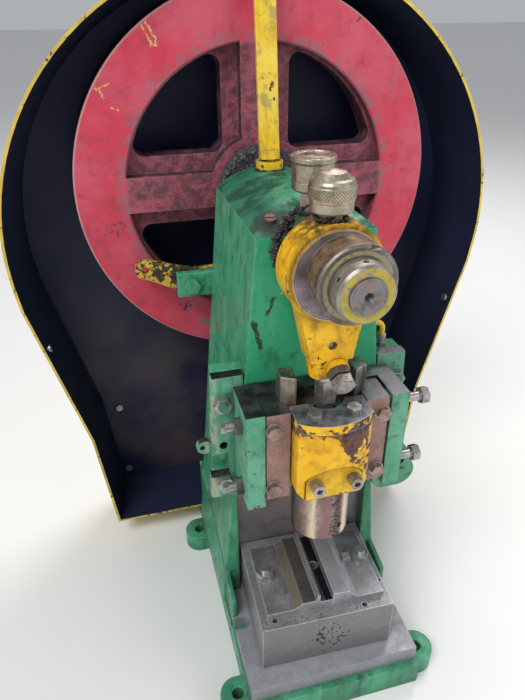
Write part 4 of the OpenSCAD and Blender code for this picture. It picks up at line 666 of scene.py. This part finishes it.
def turned_steel(name, axis_x, axis_z, colour, dark, light, *, seed, grime_and_shade, paint=None, layers=()):
    """Lathe-turned steel with rings round an axis along Y. Paint is a colour between two radii in front."""
    s = Shader(name)
    radius = s.from_axis(axis_x, axis_z)
    # Rings about a millimetre wide, on the faces and round the sides
    ring_place = s.add("ShaderNodeCombineXYZ", {0: s.product(radius, 1400.0), 1: s.product(s.y, 900.0)})
    ring_noise = {"Vector": ring_place.outputs[0], "Scale": 1.0, "Detail": 3.0}
    rings = s.add("ShaderNodeTexNoise", ring_noise).outputs[0]
    coat = Coat(s, dark)
    coat.tint(colour, s.step(s.total((s.noise(18, 6, 0.65, shift=seed), 0.8), (rings, 0.25)), 0.36, 0.66))
    coat.tint(light, s.step(rings, 0.55, 0.72), 0.4)
    coat.tint(light, s.edge(0.9), s.patches(8, 0.25, 0.55, 3, shift=seed), 0.75)
    bare = 1.0
    if paint is not None:
        paint_colour, inner, outer = paint
        front = s.math("LESS_THAN", s.facing["Y"], -0.35)
        band = s.product(s.math("GREATER_THAN", radius, inner), s.math("LESS_THAN", radius, outer), front)
        wear = s.total((s.noise(5, 6, 0.65, shift=seed + 1), 0.7), (s.noise(18, 3, shift=seed + 2), 0.4))
        painted = s.product(band, s.minus(1.0, s.step(wear, 0.60, 0.63)))
        coat.tint(paint_colour, painted)
        bare = s.minus(1.0, painted)
    # Grease in blotches, and painted shade deep in the corners
    blotch = s.product(s.patches(15, 0.45, 0.72, 6, 0.65, shift=seed + 5), 0.75)
    darkening = s.product(s.larger(blotch, s.corner(9)), grime_and_shade)
    coat.tint(GREASE_AND_SHADE, darkening)
    coat.metal = s.product(s.minus(1.0, darkening), 0.8, bare)
    coat.rough = s.step(s.total((s.noise(9, 5, shift=seed + 3), 0.7), (rings, 0.3)), 0.3, 0.7, 0.3, 0.55)
    for layer in layers:
        layer(s, coat)
    height = s.total((rings, 0.35), (s.noise(4, 4), 0.3))
    s.finish(coat, s.bump(height, 0.25, 0.6, s.soft_edges(0.5)))


def brown_hub(s, coat):
    """The hub between flange and dog ring is brown with golden bands; the flange has a gold rim."""
    hub = s.product(s.short_of(s.y, FLANGE_FRONT_Y, 0.0004),
                    s.short_of(s.from_axis(0.0, SHAFT_Z), HUB_R, 0.0003))
    # Bands about two millimetres wide along the axis
    along = {"W": s.product(s.y, 620.0), "Scale": 1.0}
    bands = s.add("ShaderNodeTexNoise", along, noise_dimensions="1D").outputs[0]
    brown = Coat(s, (0.11, 0.068, 0.042))
    brown.tint((0.34, 0.225, 0.13), s.patches(10, 0.35, 0.65, 5, 0.65, shift=3))
    brown.tint((0.40, 0.29, 0.14), s.step(bands, 0.5, 0.62), 0.7)
    coat.lay(brown.colour, 0.36, 0.6, hub)
    rim = s.beyond(s.from_axis(BIG_X, BIG_Z), FLANGE_R, 0.0003)
    coat.lay((0.52, 0.38, 0.16), 0.32, 0.6, rim, s.patches(6, 0.3, 0.5))


def brown_side(s, coat):
    """Sides of the dog ring are brown, with a bright chamfer at the front."""
    side = s.product(s.fall(s.unsigned(s.facing["Y"]), 0.3, 0.6), s.beyond(s.y, DOG_CHAMFER_Y, 0.0004))
    brown = s.mix(s.patches(9, 0.35, 0.65, 5, 0.65, shift=8), (0.11, 0.07, 0.048), (0.34, 0.25, 0.16))
    coat.lay(brown, 0.36, 0.6, side, 0.8)


def shaft_patches(s, coat):
    """Shaft end: blued steel with brown patches."""
    patch = s.patches(9, 0.48, 0.52, 5, 0.6, shift=14, warp=0.6)
    coat.lay((0.27, 0.20, 0.165), 0.5, 0.4, s.towards("Y", -1, 0.6, 0.9), patch, 0.8)


def knurled_bronze(name):
    """Front cap: turned bronze with a diamond knurl round its raised band."""
    s = Shader(name)
    angle = s.math("ARCTAN2", s.minus(s.y, CUP_Y), s.minus(s.x, CUP_X))
    turn = s.product(angle, KNURL_RIDGES)
    rise = s.product(s.z, KNURL_RIDGES / KNURL_R)
    slants = s.plus(turn, rise), s.minus(turn, rise)
    ridges = s.product(*(s.unsigned(s.math("SINE", s.product(slant, 0.5))) for slant in slants))
    band = s.product(s.between(s.z, KNURL_LOW_Z, KNURL_HIGH_Z, 0.0003), s.fall(s.facing["Z"], 0.3, 0.6))
    coat = Coat(s, (0.30, 0.25, 0.18), s.step(s.noise(9, 5), 0.3, 0.7, 0.24, 0.46), 0.85)
    coat.tint((0.56, 0.48, 0.36), s.patches(16, 0.36, 0.64, 6, 0.65))
    coat.tint((0.60, 0.38, 0.21), s.fall(s.z, 0.562, 0.5665), 0.5)
    coat.tint((0.40, 0.36, 0.29), s.towards("Z", 1, 0.5, 0.9), s.noise(12, 5), 0.9)
    # Painted shade in the grooves between the knurl's ridges
    coat.tint((0.11, 0.088, 0.062), band, s.fall(ridges, 0.05, 0.5), 0.75)
    # Bright edges: rubbed, partly a painted highlight
    coat.tint((0.80, 0.74, 0.62), s.edge(0.8), 0.6)
    coat.tint((0.045, 0.034, 0.026), s.patches(14, 0.52, 0.72, 6, 0.65, shift=5), 0.45)
    plain = s.bump(s.noise(4, 4), 0.15, 0.5, s.soft_edges(0.6))
    knurl = s.bump(s.product(ridges, 0.8), 0.5, 0.9)
    normal = s.add("ShaderNodeMix", {0: band, 4: plain, 5: knurl}, data_type="VECTOR").outputs[1]
    s.finish(coat, normal)


def grease(name, colour, crumbs, share):
    """Old grease: dark lumps with paler crumbs."""
    s = Shader(name)
    lumps = s.noise(4, 6, 0.7)
    coat = Coat(s, colour, s.step(lumps, 0.35, 0.7, 0.2, 0.6))
    coat.tint(scaled(colour, 3.2), s.step(lumps, 0.4, 0.7))
    coat.tint(crumbs, s.patches(1.7, 0.56, 0.64, 4, 0.7, shift=3), share)
    s.finish(coat, s.bump(s.total((lumps, 1.0), (s.noise(1.4, 3), 0.5)), 0.9, 1.0))


# Paints: colour, where it has faded, where it is darker, and the metal under it
worn_paint("green_frame", GREEN, GREEN_PALE, GREEN_DEEP, (0.14, 0.09, 0.06), chips=0.25, chip_size=9,
           edge_wear=0.8, grime_and_shade=0.5, seed=1.0, streaks=0.4, gloss=0.34, cast=0.5, specular=0.2,
           edge_size=3.4, round_off=4.0, pale_edge_and_highlight=(0.22, 0.62, 0.40),
           layers=(low_dirt, crown_stains, front_drips, machined_relief))
worn_paint("green_guides", (0.075, 0.31, 0.175), (0.14, 0.40, 0.26), (0.04, 0.18, 0.10), (0.17, 0.12, 0.10),
           chips=0.4, chip_size=6, edge_wear=1.1, grime_and_shade=0.6, seed=11.0, streaks=0.45,
           pale_edge_and_highlight=(0.36, 0.42, 0.32), layers=(cream_edge, channel_metal, oily_tops))
worn_paint("green_bolts", (0.06, 0.24, 0.14), GREEN_PALE, GREEN_DEEP, (0.22, 0.18, 0.15), chips=0.5,
           chip_size=4, edge_wear=1.2, grime_and_shade=0.5, seed=15.0)
worn_paint("yellow_ram", YELLOW, YELLOW_PALE, YELLOW_DEEP, (0.15, 0.082, 0.072), chips=0.75, chip_size=7,
           edge_wear=1.3, grime_and_shade=0.3, seed=21.0, streaks=0.25, cast=0.2, round_off=3.0, more_chips=ram_wear,
           layers=(shaded_yellow, bare_bars))
worn_paint("yellow_clamp", YELLOW, YELLOW_PALE, YELLOW_DEEP, (0.13, 0.075, 0.06), chips=0.7, chip_size=5,
           edge_wear=1.3, grime_and_shade=0.35, seed=25.0, streaks=0.2, cast=0.2, layers=(shaded_yellow,))
worn_paint("yellow_plate", YELLOW, YELLOW_PALE, YELLOW_DEEP, (0.16, 0.105, 0.095), chips=1.9, chip_size=7,
           edge_wear=1.0, grime_and_shade=0.3, seed=23.0, cast=0.2, layers=(plate_top,))
worn_paint("yellow_rod", (0.84, 0.45, 0.005), (0.88, 0.54, 0.02), (0.46, 0.21, 0.01), (0.13, 0.09, 0.07),
           chips=0.5, chip_size=6, edge_wear=1.0, grime_and_shade=0.6, seed=31.0, streaks=0.5, cast=0.25,
           round_off=1.5, layers=(shaded_yellow, rod_grease))
worn_paint("yellow_bar", (0.80, 0.52, 0.015), (0.84, 0.60, 0.08), (0.50, 0.32, 0.03), (0.16, 0.15, 0.09),
           chips=0.3, chip_size=8, edge_wear=0.8, grime_and_shade=0.3, seed=41.0, streaks=0.35, cast=0.2,
           layers=(bar_stains,))
worn_paint("yellow_lever", (0.66, 0.40, 0.03), (0.72, 0.50, 0.09), (0.40, 0.26, 0.04), (0.10, 0.07, 0.05),
           chips=1.0, chip_size=5, edge_wear=-0.4, grime_and_shade=0.5, seed=47.0, cast=0.2, more_chips=lever_wear)
worn_paint("red_wheel", (0.60, 0.045, 0.080), (0.60, 0.095, 0.145), (0.42, 0.050, 0.080), (0.22, 0.13, 0.14),
           chips=0.3, chip_size=6, edge_wear=0.9, grime_and_shade=0.5, seed=51.0, streaks=0.1, gloss=0.5, cast=0.9,
           scratches=0.35, specular=0.3, pale_edge_and_highlight=(0.50, 0.25, 0.25), lumps=wheel_lumps,
           layers=(wheel_shades, wheel_scratches))
sheet_pan("pan_paint")

# Bare metals: colour, its darker and its brightest shade
oily_metal("dark_steel", (0.16, 0.155, 0.155), (0.055, 0.052, 0.05), (0.40, 0.40, 0.40), grime_and_shade=0.4,
           rust=0.12, gloss=0.40, metallic=0.75, seed=1.0)
oily_metal("die_steel", (0.34, 0.335, 0.35), (0.19, 0.185, 0.19), (0.84, 0.84, 0.88), grime_and_shade=0.22, rust=0.08,
           gloss=0.36, metallic=0.5, seed=2.0, edge_shine=0.9, brush=(6, 1, 1), smooth=0.5,
           layers=(die_pits,))
oily_metal("plate_steel", (0.40, 0.40, 0.42), (0.20, 0.195, 0.20), (0.92, 0.92, 0.95), grime_and_shade=0.2, rust=0.06,
           gloss=0.34, metallic=0.5, seed=12.0, edge_shine=1.0, brush=(1, 8, 1), smooth=0.45,
           layers=(die_tones,))
oily_metal("bed_steel", (0.34, 0.335, 0.36), (0.22, 0.22, 0.24), (0.52, 0.52, 0.55), grime_and_shade=0.22, rust=0.05,
           gloss=0.46, metallic=0.2, seed=3.0, smooth=0.4)
oily_metal("fasteners", (0.50, 0.47, 0.44), (0.22, 0.20, 0.185), (0.86, 0.84, 0.80), grime_and_shade=0.28, rust=0.18,
           gloss=0.34, metallic=0.85, seed=4.0, edge_shine=0.9)
oily_metal("rusty_heads", (0.46, 0.34, 0.29), (0.20, 0.13, 0.105), (0.74, 0.66, 0.60), grime_and_shade=0.35, rust=0.3,
           gloss=0.4, metallic=0.7, seed=14.0)
oily_metal("bright_nuts", (0.55, 0.55, 0.54), (0.28, 0.28, 0.28), (0.86, 0.87, 0.87), grime_and_shade=0.25, rust=0.05,
           gloss=0.32, metallic=0.85, seed=5.0, grain=0.08, edge_shine=0.9)
oily_metal("gib_iron", (0.37, 0.22, 0.19), (0.26, 0.155, 0.13), (0.56, 0.42, 0.38), grime_and_shade=0.2, rust=0.12,
           gloss=0.42, metallic=0.35, seed=6.0, layers=(oily_tops,))
oily_metal("holder_bronze", (0.44, 0.32, 0.27), (0.20, 0.135, 0.12), (0.80, 0.68, 0.56), grime_and_shade=0.15,
           rust=0.05, gloss=0.26, metallic=0.75, seed=7.0, brush=(1, 1, 9), layers=(holder_bands,))
oily_metal("crusty", (0.20, 0.085, 0.065), (0.06, 0.03, 0.022), (0.44, 0.26, 0.20), grime_and_shade=0.4, rust=0.5,
           gloss=0.5, metallic=0.3, seed=8.0, grain=2.5)
oily_metal("bronze", (0.54, 0.47, 0.36), (0.31, 0.26, 0.19), (0.84, 0.79, 0.68), grime_and_shade=0.4, rust=0.0,
           gloss=0.28, metallic=0.88, seed=9.0, edge_shine=0.8, brush=(1, 1, 1))
knurled_bronze("knurled_bronze")
turned_steel("shaft", 0.0, SHAFT_Z, (0.24, 0.245, 0.26), (0.12, 0.12, 0.122), (0.46, 0.46, 0.47), seed=1.0,
             grime_and_shade=0.3, layers=(shaft_patches,))
turned_steel("ring_nut", 0.0, SHAFT_Z, (0.42, 0.37, 0.31), (0.21, 0.175, 0.14), (0.78, 0.75, 0.70), seed=2.0,
             grime_and_shade=0.4, paint=((0.46, 0.36, 0.05), 0.0160, 0.0222))
turned_steel("dog_ring", 0.0, SHAFT_Z, (0.30, 0.27, 0.24), (0.12, 0.10, 0.08), (0.70, 0.67, 0.65), seed=3.0,
             grime_and_shade=0.5, paint=((0.34, 0.30, 0.14), 0.0262, 0.0292), layers=(brown_side,))
turned_steel("eccentric", BIG_X, BIG_Z, (0.36, 0.29, 0.31), (0.15, 0.12, 0.13), (0.60, 0.56, 0.57), seed=4.0,
             grime_and_shade=0.5, layers=(brown_hub,))
grease("grease", (0.020, 0.011, 0.013), (0.22, 0.17, 0.17), 0.45)
grease("clutch_grease", (0.030, 0.030, 0.034), (0.42, 0.42, 0.44), 0.8)

LOOKS = {
    "green_frame": ["frame_casting"],
    "green_guides": ["guide_housing"],
    "green_bolts": ["housing_studs", "lever_bolt"],
    "yellow_ram": ["ram_slide"],
    "yellow_clamp": ["clamp_cap"],
    "yellow_plate": ["cap_plate"],
    "yellow_rod": ["connecting_rod"],
    "yellow_bar": ["stay_bar", "stay_collar", "stay_nut", "oil_pipe"],
    "yellow_lever": ["trip_lever"],
    "red_wheel": ["flywheel"],
    "pan_paint": ["wheel_guard"],
    "dark_steel": ["bolster_screws", "lock_nut", "gib_lock_nuts"],
    "die_steel": ["die_block"],
    "plate_steel": ["die_plate_left", "die_plate_right", "die_stop"],
    "bed_steel": ["bolster_plate"],
    "fasteners": ["gib_adjusting_screws", "cap_bolts", "clamp_screws", "lock_screw", "ball_screw",
                  "stay_bolt", "guard_bolts", "oil_union", "wheel_nut", "crank_key", "guard_rivets"],
    "rusty_heads": ["gib_bolts"],
    "bright_nuts": ["die_nuts", "die_washers", "die_studs", "housing_nuts", "gib_washers"],
    "gib_iron": ["gib_left", "gib_right"],
    "holder_bronze": ["punch_holder"],
    "crusty": ["crown_screws"],
    "bronze": ["front_bush", "rear_bush", "wheel_bush", "rod_bush", "ball_seat", "ball_ring",
               "rear_grease_cup", "rear_cup_cap", "front_grease_cup"],
    "knurled_bronze": ["front_cup_cap"],
    "shaft": ["crankshaft"],
    "ring_nut": ["ring_nut"],
    "dog_ring": ["dog_ring"],
    "eccentric": ["eccentric_bush"],
    "clutch_grease": ["clutch_ring", "clutch_collar"],
}


def dress_nodes():
    for look, names in LOOKS.items():
        for name in names:
            mesh = NODES[name].data
            mesh.materials.clear()
            mesh.materials.append(MATERIALS[look])
    bare = set(NODES) - {name for names in LOOKS.values() for name in names}
    assert not bare, bare


dress_nodes()


def add_piece(name, mesh, look, body):
    mesh.materials.append(MATERIALS[look])
    mesh.polygons.foreach_set("use_smooth", [True] * len(mesh.polygons))
    piece = bpy.data.objects.new(name, mesh)
    bpy.context.scene.collection.objects.link(piece)
    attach(piece, body)


def bead(name, look, body, centre, ring_r, bead_r, lump, *, seed, arc=(0, 360), count=150, sides=14,
         flat=False):
    """Uneven bead of grease along an arc in degrees from the top, clockwise, round an axis along Y.

    It is round an upright axis where flat. The arc is cut into count parts, each a ring of this many sides.
    """
    start, end = arc
    closed = end - start >= 360
    tip = Matrix.Rotation(math.radians(90), 3, "X") if flat else Matrix.Identity(3)
    build = bmesh.new()
    rows = []
    for i in range(count if closed else count + 1):
        share = i / count
        angle = math.radians(start + (end - start) * share)
        outward = Vector((math.sin(angle), 0, math.cos(angle)))
        # Open ends get thin
        taper = 1.0 if closed else max(0.05, min(1.0, share * 8, (1 - share) * 8))
        row = []
        for k in range(sides):
            turn = 2 * math.pi * k / sides
            spot = outward * (ring_r + bead_r * math.cos(turn)) + Vector((0, bead_r * math.sin(turn), 0))
            wobble = noise.fractal(spot * LUMPS_PER_M + Vector((seed, seed, seed)), 0.7, 2.1, 5)
            size = taper * (bead_r + lump * wobble)
            point = outward * (ring_r + size * math.cos(turn)) + Vector((0, size * math.sin(turn), 0))
            row.append(build.verts.new(Vector(centre) + tip @ point))
        rows.append(row)
    for i in range(count):
        a, b = rows[i], rows[(i + 1) % len(rows)]
        for k in range(sides):
            after = (k + 1) % sides
            build.faces.new((a[k], b[k], b[after], a[after]))
    if not closed:
        build.faces.new(rows[0])
        build.faces.new(reversed(rows[-1]))
    bmesh.ops.recalc_face_normals(build, faces=build.faces)
    mesh = bpy.data.meshes.new(name)
    build.to_mesh(mesh)
    build.free()
    add_piece(name, mesh, look, body)


bead("grease_behind_rod", "grease", "frame", (0.0, 0.0325, SHAFT_Z), 0.0415, 0.0028, 0.0052, seed=2.0,
     arc=(120, 350), count=420, sides=22)
bead("grease_on_clutch", "clutch_grease", "wheel", (0.0, 0.2268, SHAFT_Z), 0.0465, 0.0032, 0.0030, seed=7.0,
     count=300, sides=18)
bead("grease_under_front_cup", "grease", "rod", (CUP_X, CUP_Y, 0.5480), 0.0125, 0.0014, 0.0030, seed=4.0,
     flat=True)
bead("grease_under_rear_cup", "grease", "frame", (0.0, 0.058, 0.5360), 0.0125, 0.0014, 0.0026, seed=9.0,
     flat=True)
bead("grease_round_stay", "grease", "frame", (0.0, 0.200, 0.5402), 0.0152, 0.0008, 0.0014, seed=11.0,
     flat=True)


def make_stage():
    bpy.ops.mesh.primitive_plane_add(size=40, location=(0, 0, 0))
    floor = bpy.context.object
    floor.name = "floor"
    s = Shader("pale_floor")
    s.finish(Coat(s, FLOOR, 0.85))
    floor.data.materials.append(s.material)
    world = bpy.data.worlds.new("studio")
    world.use_nodes = True
    bpy.context.scene.world = world
    back = world.node_tree.nodes["Background"]
    back.inputs[0].default_value = SKY
    back.inputs[1].default_value = SKY_POWER
    for name, place, aim, size, power in (
        ("key", (-1.2, -0.9, 2.3), (0, 0.1, 0.35), 1.2, 40),
        ("fill", (1.5, -1.3, 1.2), (0, 0.1, 0.35), 1.2, 14),
        ("rear", (0.9, 1.3, 2.3), (0, 0.1, 0.4), 1.1, 34),
    ):
        data = bpy.data.lights.new(name, "AREA")
        data.size = size
        data.energy = power
        lamp = bpy.data.objects.new(name, data)
        lamp.location = place
        lamp.rotation_euler = (Vector(aim) - Vector(place)).to_track_quat("-Z", "Y").to_euler()
        bpy.context.scene.collection.objects.link(lamp)


make_stage()
